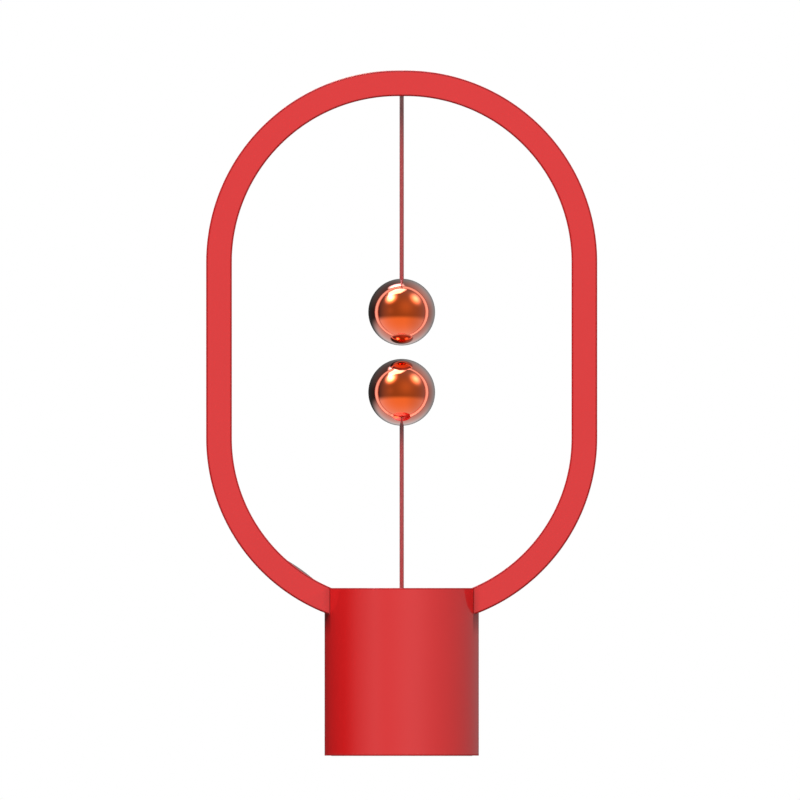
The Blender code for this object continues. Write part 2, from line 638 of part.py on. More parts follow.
def build_cradle():
    reach = cradle_half_length()
    deep = cradle_half_depth()
    inner = reach - PILLAR_THICKNESS
    seat_top = PLATE_TOP + SEAT_HEIGHT
    corners = [((-reach, -deep, PLATE_BOTTOM), (reach, deep, PLATE_TOP))]
    plate = boxes("frame_cradle", corners, BLACK_PLASTIC)
    bm = bmesh.new()
    for side in (-1, 1):
        near, far = sorted((side * inner, side * reach))
        box_into(bm, (near, -deep, FOOT_BOTTOM), (far, deep, PLATE_BOTTOM + BASE_EDGE))
    boolean(plate, add_solid("cradle_pillars", bm), "UNION")
    bm = bmesh.new()
    for side in (-1, 1):
        near, far = sorted((side * (inner - FOOT_LENGTH), side * (inner + BASE_EDGE)))
        box_into(bm, (near, -deep, FOOT_BOTTOM), (far, deep, FOOT_BOTTOM + FOOT_THICKNESS))
    boolean(plate, add_solid("cradle_feet", bm), "UNION")
    bm = bmesh.new()
    for side in (-1, 1):
        near, far = sorted((side * (LEG_END_X - GAP), side * reach))
        box_into(bm, (near, -deep, PLATE_TOP - BASE_EDGE), (far, deep, seat_top))
    boolean(plate, add_solid("cradle_seats", bm), "UNION")
    tab_front = SWITCH_HALF_WIDTH + GAP
    tab = [((-SWITCH_HALF_LENGTH, tab_front, SWITCH_BOTTOM),
            (SWITCH_HALF_LENGTH, tab_front + SWITCH_TAB_THICKNESS, PLATE_BOTTOM + BASE_EDGE))]
    boolean(plate, boxes("switch_tab", tab), "UNION")
    room = rectangle(-BASE_HEIGHT / 2, FRAME_BAND + GAP, FRAME_DEPTH)
    boolean(plate, sweep("seat_room", frame_stations(), room))
    for holes in ("frame_screw_holes", "lid_screw_holes", "cradle_screw_threads", "switch_screw_holes"):
        boolean(plate, bpy.data.objects[holes])
    through = [((0, 0, PLATE_BOTTOM - OVERRUN), (0, 0, PLATE_TOP + OVERRUN))]
    boolean(plate, rods("nose_hole", NOSE_HOLE_RADIUS, through))
    slot_x = WIRE_SLOT_INSET - LEG_END_X
    through = [((slot_x, WIRE_SLOT_Y, PLATE_BOTTOM - OVERRUN),
                (slot_x, WIRE_SLOT_Y, PLATE_TOP + OVERRUN))]
    boolean(plate, rods("wire_slot", WIRE_SLOT_RADIUS, through, steps=SCREW_STEPS))


def cap_screw(name, radius, head_radius, head_height, length):
    """A cap screw along +Z with the underside of its head at the origin."""
    outline = [(0, -head_height + SOCKET_DEPTH), (SOCKET_RADIUS, -head_height + SOCKET_DEPTH),
               (SOCKET_RADIUS, -head_height), (head_radius, -head_height), (head_radius, 0), (radius, 0),
               (radius, length), (0, length)]
    return lathe(name, outline, STEEL, SCREW_STEPS)


def build_screws():
    for prefix, spots, length in (("lid_screw_", lid_screw_spots(), LID_SCREW_LENGTH),
                                  ("frame_screw_", frame_screw_spots(), FRAME_SCREW_LENGTH)):
        for number, (x, y) in enumerate(spots, 1):
            screw = cap_screw(prefix + str(number), M3_RADIUS, M3_HEAD_RADIUS, M3_HEAD_HEIGHT, length)
            screw.location = (x, y, PLATE_BOTTOM - GAP)
    for number, side in enumerate((-1, 1), 1):
        screw = cap_screw("cradle_screw_%d" % number, CRADLE_SCREW_RADIUS, CRADLE_SCREW_HEAD,
                          CRADLE_SCREW_HEAD_HEIGHT, FOOT_THICKNESS + GAP + CRADLE_SCREW_DEPTH)
        screw.rotation_euler = (math.pi, 0, 0)
        screw.location = (side * cradle_screw_x(), 0, FOOT_BOTTOM + FOOT_THICKNESS + GAP)


def build_switch():
    side = SWITCH_HALF_WIDTH
    corners = [((-SWITCH_HALF_LENGTH, -side, SWITCH_BOTTOM), (SWITCH_HALF_LENGTH, side, SWITCH_TOP))]
    body = boxes("microswitch_body", corners, BLACK_PLASTIC)
    height = SWITCH_TOP - SWITCH_SCREW_DROP
    tip = side + GAP + SWITCH_TAB_THICKNESS
    ends = []
    for x in (-SWITCH_SCREW_X, SWITCH_SCREW_X):
        ends.append(((x, -side - OVERRUN, height), (x, tip + OVERRUN, height)))
    boolean(body, rods("switch_screw_holes", SWITCH_SCREW_RADIUS + THREAD_GAP, ends, steps=SCREW_STEPS))
    well = [((0, 0, SWITCH_TOP - BUTTON_WELL), (0, 0, SWITCH_TOP + OVERRUN))]
    boolean(body, rods("button_well", BUTTON_RADIUS + GAP, well))
    button = [((0, 0, SWITCH_TOP - BUTTON_SINK), (0, 0, NOSE_BOTTOM - GAP))]
    rods("microswitch_button", BUTTON_RADIUS, button, RED_PAINT)
    for number, x in enumerate((-SWITCH_SCREW_X, SWITCH_SCREW_X), 1):
        outline = [(0, -SWITCH_SCREW_HEAD_HEIGHT), (SWITCH_SCREW_HEAD, -SWITCH_SCREW_HEAD_HEIGHT),
                   (SWITCH_SCREW_HEAD, 0), (SWITCH_SCREW_RADIUS, 0),
                   (SWITCH_SCREW_RADIUS, tip + side), (0, tip + side)]
        screw = lathe("switch_screw_%d" % number, outline, STEEL, SCREW_STEPS)
        screw.rotation_euler = (-math.pi / 2, 0, 0)
        screw.location = (x, -side - GAP, height)


def build_plunger():
    outline = [(0, NOSE_BOTTOM), (NOSE_RADIUS, NOSE_BOTTOM), (NOSE_RADIUS, FLANGE_BOTTOM),
               (FLANGE_RADIUS, FLANGE_BOTTOM), (FLANGE_RADIUS, FLANGE_TOP), (STEM_RADIUS, FLANGE_TOP),
               (STEM_RADIUS, STEM_TOP), (0, STEM_TOP)]
    lathe("pull_plunger", outline, WHITE_PLASTIC, SMALL_STEPS)
    rods("cord_anchor", ANCHOR_RADIUS, [((0, 0, ANCHOR_BOTTOM), (0, 0, ANCHOR_TOP))], BRASS)
    outer = GUIDE_INNER + GUIDE_WALL
    low = PLATE_TOP + GAP
    outline = [(GUIDE_INNER, low), (GUIDE_FOOT_RADIUS, low), (GUIDE_FOOT_RADIUS, low + GUIDE_FOOT),
               (outer, low + GUIDE_FOOT), (outer, GUIDE_TOP), (GUIDE_INNER, GUIDE_TOP)]
    lathe("plunger_guide", outline, WHITE_PLASTIC, SMALL_STEPS)


def tube(name, points, radius, finish, ring_steps=1):
    """A round bar along a line of points, with flat ends."""
    curve = bpy.data.curves.new(name, "CURVE")
    curve.dimensions = "3D"
    curve.bevel_depth = radius
    curve.bevel_resolution = ring_steps
    curve.use_fill_caps = True
    line = curve.splines.new("POLY")
    line.points.add(len(points) - 1)
    for point, place in zip(line.points, points):
        point.co = (*place, 1)
    thing = bpy.data.objects.new(name, curve)
    bpy.context.collection.objects.link(thing)
    give_finish(thing, finish)
    return thing


def spaced(route):
    """The route's own points, with more between them at even steps."""
    points = [route[0]]
    for start, end in zip(route, route[1:]):
        start, end = Vector(start), Vector(end)
        count = math.ceil((end - start).length / CORD_POINT_STEP)
        points += [tuple(start.lerp(end, (index + 1) / count)) for index in range(count)]
    return points


def build_return_spring():
    low = FLANGE_TOP + GAP + SPRING_WIRE
    high = GUIDE_TOP - SPRING_WIRE
    count = SPRING_TURNS * SPRING_POINTS
    points = []
    for index in range(count + 1):
        angle = math.tau * index / SPRING_POINTS
        height = low + (high - low) * index / count
        points.append((SPRING_RADIUS * math.cos(angle), SPRING_RADIUS * math.sin(angle), height))
    tube("return_spring", points, SPRING_WIRE, STEEL)
    print("least gap between the spring's turns:", (high - low) / SPRING_TURNS - SPRING_WIRE * 2)


def bead(name, height):
    """The short stretch of cord that bends inside its bush, drawn as a bead on the pivot."""
    quarter = math.pi / 2
    ring = arc((0, height), BEAD_RADIUS, -quarter, quarter, BEAD_RINGS)[1:-1]
    outline = [(0, height - BEAD_RADIUS)] + ring + [(0, height + BEAD_RADIUS)]
    lathe(name, outline, RED_CORD, CORD_STEPS)


def build_lower_bush():
    top = BASE_HEIGHT - BUSH_RECESS
    low = LOWER_BUSH_BOTTOM
    outline = [(THROAT_RADIUS, low), (BUSH_FLANGE_RADIUS, low), (BUSH_FLANGE_RADIUS, low + BUSH_FLANGE),
               (BUSH_BODY_RADIUS, low + BUSH_FLANGE), (BUSH_BODY_RADIUS, top), (LOWER_BUSH_MOUTH, top),
               (THROAT_RADIUS, top - LOWER_THROAT_DEPTH)]
    lathe("lower_cord_bush", outline, GREY_PLASTIC, SMALL_STEPS)


def build_upper_bush():
    low = FRAME_CEILING + DIFFUSER_RECESS + BUSH_RECESS
    flange_low = FRAME_CEILING + LIP_THICKNESS + GAP + DIFFUSER_WING + GAP
    pocket_low = UPPER_PIVOT_Z + BEAD_RADIUS
    top = pocket_low + POCKET_HEIGHT
    outline = [(UPPER_BUSH_MOUTH, low), (BUSH_BODY_RADIUS, low), (BUSH_BODY_RADIUS, flange_low),
               (BUSH_FLANGE_RADIUS, flange_low), (BUSH_FLANGE_RADIUS, flange_low + BUSH_FLANGE),
               (BUSH_BODY_RADIUS, flange_low + BUSH_FLANGE), (BUSH_BODY_RADIUS, top),
               (POCKET_RADIUS, top), (POCKET_RADIUS, pocket_low), (THROAT_RADIUS, pocket_low),
               (THROAT_RADIUS, low + UPPER_THROAT_DEPTH)]
    lathe("upper_cord_bush", outline, GREY_PLASTIC, SMALL_STEPS)
    ferrule_low = pocket_low + GAP
    ferrule = [((0, 0, ferrule_low), (0, 0, ferrule_low + FERRULE_HEIGHT))]
    rods("upper_cord_ferrule", FERRULE_RADIUS, ferrule, BRASS)


def build_ball(prefix, height, cord_side):
    """One hollow ball; the cord enters at cord_side (1 above, -1 below), the magnet sits opposite."""
    inner_radius = BALL_RADIUS - BALL_WALL
    hole = CORD_RADIUS + CORD_HOLE_GAP

    def half(name, side, opening):
        outline = []
        for radius, rings in ((BALL_RADIUS, BALL_RINGS), (inner_radius, BALL_INNER_RINGS)):
            start = math.asin(GAP / 2 / radius)
            end = math.acos(opening / radius)
            points = arc((0, 0), radius, start, end, rings)
            outline += points if radius == BALL_RADIUS else points[::-1]
        return lathe(name, [(r, height + side * z) for r, z in outline], COPPER_MIRROR, BALL_STEPS)

    half(prefix + "_ball_cord_half", cord_side, hole)
    half(prefix + "_ball_magnet_half", -cord_side, 0)

    crimp_far = BALL_RADIUS - CORD_BITE - GAP
    crimp_near = crimp_far - CRIMP_HEIGHT
    crimp = [((0, 0, height + cord_side * crimp_near), (0, 0, height + cord_side * crimp_far))]
    rods(prefix + "_ball_crimp", CRIMP_RADIUS, crimp, BRASS)

    away = -cord_side
    ring_share = math.cos(math.pi / BALL_INNER_RINGS / 4)
    flat_radius = inner_radius * ring_share * math.cos(math.pi / BALL_STEPS)
    magnet_far = math.sqrt(flat_radius ** 2 - MAGNET_RADIUS ** 2) - GAP
    magnet_near = magnet_far - MAGNET_HEIGHT
    magnet = [((0, 0, height + away * magnet_near), (0, 0, height + away * magnet_far))]
    rods(prefix + "_ball_magnet", MAGNET_RADIUS, magnet, STEEL)

    holder_inner = MAGNET_RADIUS + GAP
    holder_outer = holder_inner + HOLDER_WALL
    rim = math.sqrt(flat_radius ** 2 - holder_outer ** 2) - GAP
    floor_near = magnet_near - GAP - HOLDER_FLOOR
    outline = [(0, floor_near), (holder_outer, floor_near), (holder_outer, rim), (holder_inner, rim),
               (holder_inner, magnet_near - GAP), (0, magnet_near - GAP)]
    outline = [(radius, height + away * z) for radius, z in outline]
    lathe(prefix + "_ball_magnet_holder", outline, WHITE_PLASTIC, SMALL_STEPS)


def build_cords():
    bead("upper_cord_neck", UPPER_PIVOT_Z)
    bead("lower_cord_neck", LOWER_PIVOT_Z)
    tail_route = [(0, 0, ANCHOR_TOP + GAP), (0, 0, LOWER_PIVOT_Z - BEAD_RADIUS - GAP)]
    for name, route in (("upper_cord", UPPER_CORD_ROUTE), ("lower_cord", LOWER_CORD_ROUTE),
                        ("lower_cord_tail", tail_route)):
        tube(name, spaced(route), CORD_RADIUS, RED_CORD, 2)


def tray_half_width():
    return cradle_half_length() - PILLAR_THICKNESS - FOOT_LENGTH - TRAY_GAP


def build_board():
    side = tray_half_width()
    rear = math.sqrt((SHELL_INNER - TRAY_WALL_GAP) ** 2 - side ** 2)
    tray_top = FOOT_BOTTOM + TRAY_THICKNESS
    tray = boxes("board_tray", [((-side, -TRAY_FRONT, FOOT_BOTTOM), (side, rear, tray_top))], BLACK_PLASTIC)
    posts = []
    for x in (-side + POST_INSET, side - POST_INSET):
        for y in (-TRAY_FRONT + POST_INSET, rear - POST_INSET):
            posts.append(((x, y, tray_top - BASE_EDGE), (x, y, BOARD_BOTTOM - GAP)))
    boolean(tray, rods("tray_posts", POST_RADIUS, posts, steps=SCREW_STEPS), "UNION")
    edge = side - BOARD_MARGIN
    board = [((-edge, -TRAY_FRONT + BOARD_MARGIN, BOARD_BOTTOM), (edge, rear, BOARD_TOP))]
    boxes("control_board", board, GREEN_BOARD)
    seat = BOARD_TOP + GAP
    case = [((-CHIP_CASE_HALF, CHIP_CASE_Y - CHIP_CASE_HALF, seat),
             (CHIP_CASE_HALF, CHIP_CASE_Y + CHIP_CASE_HALF, seat + CHIP_CASE_HEIGHT))]
    boxes("driver_chip", case, BLACK_PLASTIC)
    spot = (edge - CAPACITOR_INSET - CAPACITOR_RADIUS, CAPACITOR_Y)
    can = [((*spot, seat), (*spot, seat + CAPACITOR_HEIGHT))]
    rods("filter_capacitor", CAPACITOR_RADIUS, can, BLACK_PLASTIC)


def build_power_socket():
    seat = BOARD_TOP + GAP
    face = math.sqrt(BASE_RADIUS ** 2 - SOCKET_HALF_WIDTH ** 2) - SOCKET_SINK
    wide = SOCKET_HALF_WIDTH
    corners = [((-wide, face - SOCKET_LENGTH, seat), (wide, face, seat + SOCKET_HEIGHT))]
    case = boxes("power_socket", corners, STEEL)
    low = (-wide + SOCKET_WALL, face - SOCKET_CAVITY, seat + SOCKET_WALL)
    high = (wide - SOCKET_WALL, face + OVERRUN, seat + SOCKET_HEIGHT - SOCKET_WALL)
    boolean(case, boxes("socket_cavity", [(low, high)]))
    middle = seat + SOCKET_HEIGHT / 2
    start = face - SOCKET_CAVITY - SOCKET_WALL
    tongue = [((-TONGUE_HALF_WIDTH, start, middle - TONGUE_THICKNESS / 2),
               (TONGUE_HALF_WIDTH, start + TONGUE_LENGTH, middle + TONGUE_THICKNESS / 2))]
    boolean(case, boxes("socket_tongue", tongue), "UNION")


def build_wires():
    end_out = FRAME_BAND - FRAME_WALL - GAP - STRIP_THICKNESS / 2
    place, outward = frame_stations()[0]
    start = place + outward * end_out
    beyond = (GAP + WIRE_RADIUS) * math.sin(LEG_END_ANGLE)
    foot = BOARD_TOP + GAP
    slot_x = WIRE_SLOT_INSET - LEG_END_X
    foot_x = WIRE_FOOT_INSET - tray_half_width()
    points = [(start.x + beyond, 0, start.z), (slot_x, WIRE_SLOT_Y, start.z - WIRE_LEAD / 2),
              (slot_x, WIRE_SLOT_Y, PLATE_TOP), (slot_x, WIRE_SLOT_Y, PLATE_BOTTOM),
              (slot_x, WIRE_SLOT_Y, foot + WIRE_LEAD * 2), (foot_x, WIRE_SLOT_Y, foot + WIRE_LEAD),
              (foot_x, WIRE_SLOT_Y, foot)]
    tube("strip_wire", points, WIRE_RADIUS, WHITE_PLASTIC)
    points = [(SWITCH_WIRE_X, 0, foot), (SWITCH_WIRE_X, 0, SWITCH_BOTTOM - GAP)]
    tube("switch_wire", points, WIRE_RADIUS, WHITE_PLASTIC)


remove_old_objects()
build_holes()
build_switch()
build_frame_shells()
build_light()
build_feed_cover()
build_leg_plugs()
build_bottom()
build_base_shell()
build_base_lid()
build_cradle()
build_screws()
build_plunger()
build_return_spring()
build_lower_bush()
build_upper_bush()
build_ball("upper", UPPER_BALL_Z, 1)
build_ball("lower", LOWER_BALL_Z, -1)
build_cords()
build_board()
build_power_socket()
build_wires()
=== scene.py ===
import json
import math

import bmesh
import bpy
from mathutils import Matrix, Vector

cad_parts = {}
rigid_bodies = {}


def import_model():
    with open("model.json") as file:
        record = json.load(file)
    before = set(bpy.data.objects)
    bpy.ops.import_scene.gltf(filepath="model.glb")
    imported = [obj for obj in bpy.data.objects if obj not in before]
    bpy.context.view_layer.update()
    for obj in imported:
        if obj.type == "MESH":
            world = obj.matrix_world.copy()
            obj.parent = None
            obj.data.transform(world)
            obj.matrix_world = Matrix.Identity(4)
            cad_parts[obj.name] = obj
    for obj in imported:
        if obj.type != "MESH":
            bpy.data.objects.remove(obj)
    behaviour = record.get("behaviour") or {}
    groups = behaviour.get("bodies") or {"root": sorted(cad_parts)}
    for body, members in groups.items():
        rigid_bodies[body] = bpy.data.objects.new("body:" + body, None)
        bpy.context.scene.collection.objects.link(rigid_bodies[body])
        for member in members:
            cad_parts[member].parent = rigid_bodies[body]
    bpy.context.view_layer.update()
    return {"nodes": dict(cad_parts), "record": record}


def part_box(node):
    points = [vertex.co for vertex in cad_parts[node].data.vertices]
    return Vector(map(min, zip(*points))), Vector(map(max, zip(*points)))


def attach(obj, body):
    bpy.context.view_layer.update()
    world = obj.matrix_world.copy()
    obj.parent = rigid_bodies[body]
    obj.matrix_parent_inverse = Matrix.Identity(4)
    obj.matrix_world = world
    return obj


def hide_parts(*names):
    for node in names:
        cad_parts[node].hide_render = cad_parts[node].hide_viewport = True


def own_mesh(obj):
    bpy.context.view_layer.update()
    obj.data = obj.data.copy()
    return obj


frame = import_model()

# Looks of the magnetic balance lamp, in metres, with its front towards -Y
nodes = frame["nodes"]
scene = bpy.context.scene


# Camera: level and square to the front, with parallel lines, as in the photograph
photo = {
    "pixels": 800,
    "metresPerPixel": 0.0005835,
    "distance": 2.0,
    "centreX": -0.00099,
    "centreZ": 0.20771,
}


def placeCamera():
    camera = bpy.data.cameras.new("camera")
    camera.type = "ORTHO"
    camera.ortho_scale = photo["pixels"] * photo["metresPerPixel"]
    holder = bpy.data.objects.new("camera", camera)
    holder.location = (photo["centreX"], -photo["distance"], photo["centreZ"])
    holder.rotation_euler = (math.pi / 2, 0, 0)
    scene.collection.objects.link(holder)
    scene.camera = holder


placeCamera()
print("camera placed")


# Shader maths: a Signal is one socket, and an expression on signals adds its Math nodes
class Signal:
    def __init__(self, bench, socket):
        self.bench = bench
        self.socket = socket

    def __add__(self, other):
        return self.bench.maths("ADD", self, other)

    def __radd__(self, other):
        return self.bench.maths("ADD", other, self)

    def __sub__(self, other):
        return self.bench.maths("SUBTRACT", self, other)

    def __rsub__(self, other):
        return self.bench.maths("SUBTRACT", other, self)

    def __mul__(self, other):
        return self.bench.maths("MULTIPLY", self, other)

    def __rmul__(self, other):
        return self.bench.maths("MULTIPLY", other, self)

    def __truediv__(self, other):
        return self.bench.maths("DIVIDE", self, other)

    def __rtruediv__(self, other):
        return self.bench.maths("DIVIDE", other, self)

    def __pow__(self, other):
        return self.bench.maths("POWER", self, other)

    def __rpow__(self, other):
        return self.bench.maths("POWER", other, self)

    def __abs__(self):
        return self.bench.maths("ABSOLUTE", self)

    def __neg__(self):
        return self.bench.maths("MULTIPLY", self, -1)


class Bench:
    def __init__(self, tree):
        self.tree = tree
        tree.nodes.clear()

    def node(self, kind, settings=None, values=None, out=0):
        made = self.tree.nodes.new("ShaderNode" + kind)
        for name, value in (settings or {}).items():
            setattr(made, name, value)
        for key, value in (values or {}).items():
            if isinstance(value, Signal):
                self.tree.links.new(value.socket, made.inputs[key])
            else:
                made.inputs[key].default_value = value
        return Signal(self, made.outputs[out]) if made.outputs else made

    def maths(self, operation, first, second=0):
        return self.node("Math", {"operation": operation}, {0: first, 1: second})

    def place(self):
        return self.node("TexCoord", out="Object")

    def noise(self, scale, detail=2.0, roughness=0.5, at=None):
        values = {"Scale": scale, "Detail": detail, "Roughness": roughness}
        return self.node("TexNoise", None, {"Vector": at or self.place(), **values}, "Fac")

    def split(self, vector):
        made = self.node("SeparateXYZ", None, {0: vector}).socket.node
        return [Signal(self, socket) for socket in made.outputs]

    def step(self, value, low, high, kind="SMOOTHSTEP"):
        return self.node("MapRange", {"interpolation_type": kind},
                         {"Value": value, "From Min": low, "From Max": high})

    def blend(self, share, first, second):
        return self.node("Mix", {"data_type": "RGBA"}, {0: share, 6: first, 7: second}, 2)

    def bump(self, height, strength, distance):
        return self.node("Bump", None, {"Height": height, "Strength": strength, "Distance": distance})

    def facing(self):
        return self.node("LayerWeight", None, {"Blend": 0.5}, "Facing")

    def shader(self, **values):
        sockets = {name.replace("_", " "): value for name, value in values.items()}
        return self.node("BsdfPrincipled", None, sockets)

    def output(self, shader):
        self.node("OutputMaterial", None, {"Surface": shader})


def rgb(red, green, blue):
    return (red, green, blue, 1)


def newMaterial(name):
    material = bpy.data.materials.new(name)
    material.use_nodes = True
    return material, Bench(material.node_tree)


# Studio: a dome with walls, ground and softboxes for reflections, which the camera sees as plain white
studio = {
    "front": 0.33,
    "left": (0.03, 0.10),                # low down and overhead
    "right": (0.34, 0.50),
    "overhead": 0.6,
    "poleGuard": 0.0001,                 # keeps the walls' turn finite straight above and below
    "leftToRight": (-0.45, 0.80),
    "frontToLeft": (-0.70, 0.17),
    "frontToRight": (-0.10, 0.35),
    "ground": {
        "front": 1.02,
        "back": 0.66,
        "rightLoss": 0.22,
        "rightSide": (0.1, 0.8),
        "top": -0.15,
        "fade": 0.28,
        "backFade": 0.16,
        "bounce": 0.35,                  # what of it lights the lamp, as against its reflection
    },
    "strip": {                           # the long softbox, measured on the level one unit up
        "lowest": 0.01,                  # keeps its division finite at eye level
        "middle": -0.25,
        "bend": -0.72,
        "bendLength": 0.92,
        "narrow": 0.28,
        "wide": 0.44,
        "taperLength": 0.45,
        "back": 0.52,
        "front": -0.38,
        "sideFeather": 0.08,
        "backFeather": 0.04,
        "frontFeather": 0.05,
        "dim": 1.5,
        "gain": 6.6,
        "full": 0.98,
        "power": 1.5,
        "tint": rgb(1.0, 0.97, 1.12),
    },
    "spill": 0.10,                       # what of the softboxes lights the lamp, so that tops stay red
    "lamps": (
        {"towards": (-0.545, -0.430, 0.720), "spread": 0.13, "strength": 16.0,
         "tint": rgb(1.0, 0.97, 1.25)},
        {"towards": (0.678, -0.336, 0.654), "spread": 0.15, "strength": 4.4},
        {"towards": (0.254, -0.908, 0.332), "spread": 0.32, "strength": 0.24},
        {"towards": (-0.643, -0.766, 0.100), "spread": 0.14, "strength": 0.10},
        {"towards": (-0.220, 0.150, 0.960), "spread": 0.10, "strength": 30.0,
         "tint": rgb(1.0, 0.72, 0.30)},
    ),
    "softLights": (
        {"name": "front light", "from": (-2.0, -5.5, 5.3), "width": 4.0, "watts": 575},
        {"name": "right light", "from": (3.3, -1.6, 1.6), "width": 1.2, "watts": 28},
        {"name": "back light", "from": (0.0, 2.8, 0.9), "width": 1.2, "watts": 80},
    ),
    "aim": (0, 0, 0.2),
}


def domeWalls(bench, x, y, z):
    # grey in front, fading to black on the left and brighter on the right and behind
    turn = y / (x * x + y * y + studio["poleGuard"]) ** 0.5
    high = bench.step(z, 0, studio["overhead"])
    left = studio["left"][0] + (studio["left"][1] - studio["left"][0]) * high
    right = studio["right"][0] + (studio["right"][1] - studio["right"][0]) * high
    faded = bench.step(turn, *studio["frontToLeft"])
    behind = bench.step(turn, *studio["frontToRight"])
    leftWall = studio["front"] * (1 - faded) + left * faded
    rightWall = studio["front"] * (1 - behind) + right * behind
    sideways = bench.step(x, *studio["leftToRight"])
    return leftWall * (1 - sideways) + rightWall * sideways, behind


def domeStrip(bench, x, y, z):
    # it bends to the left towards the front, and is wider and brighter there
    strip = studio["strip"]
    up = bench.maths("MAXIMUM", z, strip["lowest"])
    flatX, flatY = x / up, y / up
    middle = strip["middle"] + strip["bend"] * bench.step(-flatY, 0, strip["bendLength"])
    taper = bench.step(flatY, 0, strip["taperLength"])
    halfWidth = strip["wide"] - (strip["wide"] - strip["narrow"]) * taper
    past = abs(flatX - middle) - halfWidth
    along = (strip["back"] - flatY) / (strip["back"] - strip["front"])
    inside = 1 - bench.step(past, -strip["sideFeather"], strip["sideFeather"])
    inside = inside * bench.step(along, -strip["backFeather"], strip["backFeather"])
    inside = inside * (1 - bench.step(along, 1 - strip["frontFeather"], 1 + strip["frontFeather"]))
    brighter = bench.step(along, 0, strip["full"], "LINEAR") ** strip["power"]
    return inside, inside * (strip["dim"] + strip["gain"] * brighter)


def lightDome():
    world = bpy.data.worlds.new("studio")
    world.use_nodes = True
    scene.world = world
    bench = Bench(world.node_tree)
    towards = bench.node("TexCoord", out="Generated")
    x, y, z = bench.split(towards)
    mirrored = bench.node("LightPath", out="Is Glossy Ray")

    walls, behind = domeWalls(bench, x, y, z)
    ground = studio["ground"]
    below = bench.step(ground["top"] - z, 0, ground["fade"] + ground["backFade"] * behind)
    bright = ground["front"] * (1 - behind) + ground["back"] * behind
    bright = bright * (1 - ground["rightLoss"] * bench.step(x, *ground["rightSide"]))
    bounced = ground["bounce"] + (1 - ground["bounce"]) * mirrored
    light = walls * (1 - below) + bright * below * bounced

    reach = studio["spill"] + (1 - studio["spill"]) * mirrored
    inside, glow = domeStrip(bench, x, y, z)
    light = light + glow * reach
    tint = bench.blend(inside * mirrored, rgb(1, 1, 1), studio["strip"]["tint"])
    for lamp in studio["lamps"]:
        aim = tuple(Vector(lamp["towards"]).normalized())
        near = bench.node("VectorMath", {"operation": "DOT_PRODUCT"}, {0: towards, 1: aim}, "Value")
        glow = bench.maths("EXPONENT", (near - 1) / lamp["spread"] ** 2)
        light = light + glow * lamp["strength"] * reach
        if "tint" in lamp:
            tint = bench.blend(glow * mirrored, tint, lamp["tint"])

    seen = bench.node("LightPath", out="Is Camera Ray")
    light = light * (1 - seen) + seen
    background = bench.node("Background", None, {"Color": tint, "Strength": light})
    bench.node("OutputWorld", None, {"Surface": background})


floorLook = {
    "radius": 0.80,
    "segments": 96,
    "pale": rgb(0.93, 0.93, 0.93),
    "duller": rgb(0.90, 0.90, 0.90),
    "speckleScale": 180,
    "roughness": 0.9,
    "glow": 0.25,
}


def layFloor():
    bm = bmesh.new()
    bmesh.ops.create_circle(bm, cap_ends=True, segments=floorLook["segments"],
                            radius=floorLook["radius"])
    mesh = bpy.data.meshes.new("floor")
    bm.to_mesh(mesh)
    bm.free()
    floor = bpy.data.objects.new("floor", mesh)
    scene.collection.objects.link(floor)
    material, bench = newMaterial("pale floor")
    speckle = bench.noise(floorLook["speckleScale"], 3)
    colour = bench.blend(speckle, floorLook["pale"], floorLook["duller"])
    bench.output(bench.shader(Base_Color=colour, Roughness=floorLook["roughness"],
                              Emission_Color=rgb(1, 1, 1), Emission_Strength=floorLook["glow"]))
    mesh.materials.append(material)
    floor.visible_glossy = False        # the dome's ground gives its reflection and its bounced light
    floor.visible_diffuse = False
    floor.visible_shadow = False


def hangSoftLights():
    # large soft lights that add no reflections of their own
    for soft in studio["softLights"]:
        light = bpy.data.lights.new(soft["name"], "AREA")
        light.shape = "DISK"
        light.size = soft["width"]
        light.energy = soft["watts"]
        holder = bpy.data.objects.new(soft["name"], light)
        holder.location = soft["from"]
        aim = Vector(studio["aim"]) - holder.location
        holder.rotation_euler = aim.to_track_quat("-Z", "Y").to_euler()
        holder.visible_glossy = False
        scene.collection.objects.link(holder)


lightDome()
layFloor()
hangSoftLights()
scene.view_settings.view_transform = "Standard"
print("studio lit")


# Sizes that the finishes and the meshes share: what can be is read from the solids
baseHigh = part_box("base_shell")[1]
shellLow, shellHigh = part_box("frame_front_shell")
gap = 0.0003                            # between pieces that only just clear each other
bushHole = 0.0055                       # radius of the holes that the cord bushes sit in
weld = 0.0000005                        # points closer than this become one
smoothBelow = 30                        # degrees; sharper corners stay sharp
ring = {
    "band": 0.015,
    "topFlatHalf": 0.0023,
    "lowFlatHalf": 0.0044,
    "sink": 0.0073,                     # how far its inner face dips below the base's top
    "legEnd": 0.0206,
    "edge": 0.00115,
    "edgeSteps": 6,
    "wall": 0.002,
    "lip": 0.002,
    "lipWidth": 0.003,
    "seam": 0.0003,
    "cornerSteps": 56,
    "legSteps": 48,
}
ring["half"] = -shellLow.y
ring["halfWidth"] = shellHigh.x - ring["band"]
ring["ceiling"] = shellHigh.z - ring["band"]
ring["topRadius"] = ring["halfWidth"] - ring["topFlatHalf"]
ring["lowRadius"] = ring["halfWidth"] - ring["lowFlatHalf"]
ring["topZ"] = ring["ceiling"] - ring["topRadius"]
ring["lowZ"] = baseHigh.z - ring["sink"] + ring["lowRadius"]
ring["legAngle"] = math.acos((ring["legEnd"] - ring["lowFlatHalf"])
                             / (ring["lowRadius"] + ring["band"]))


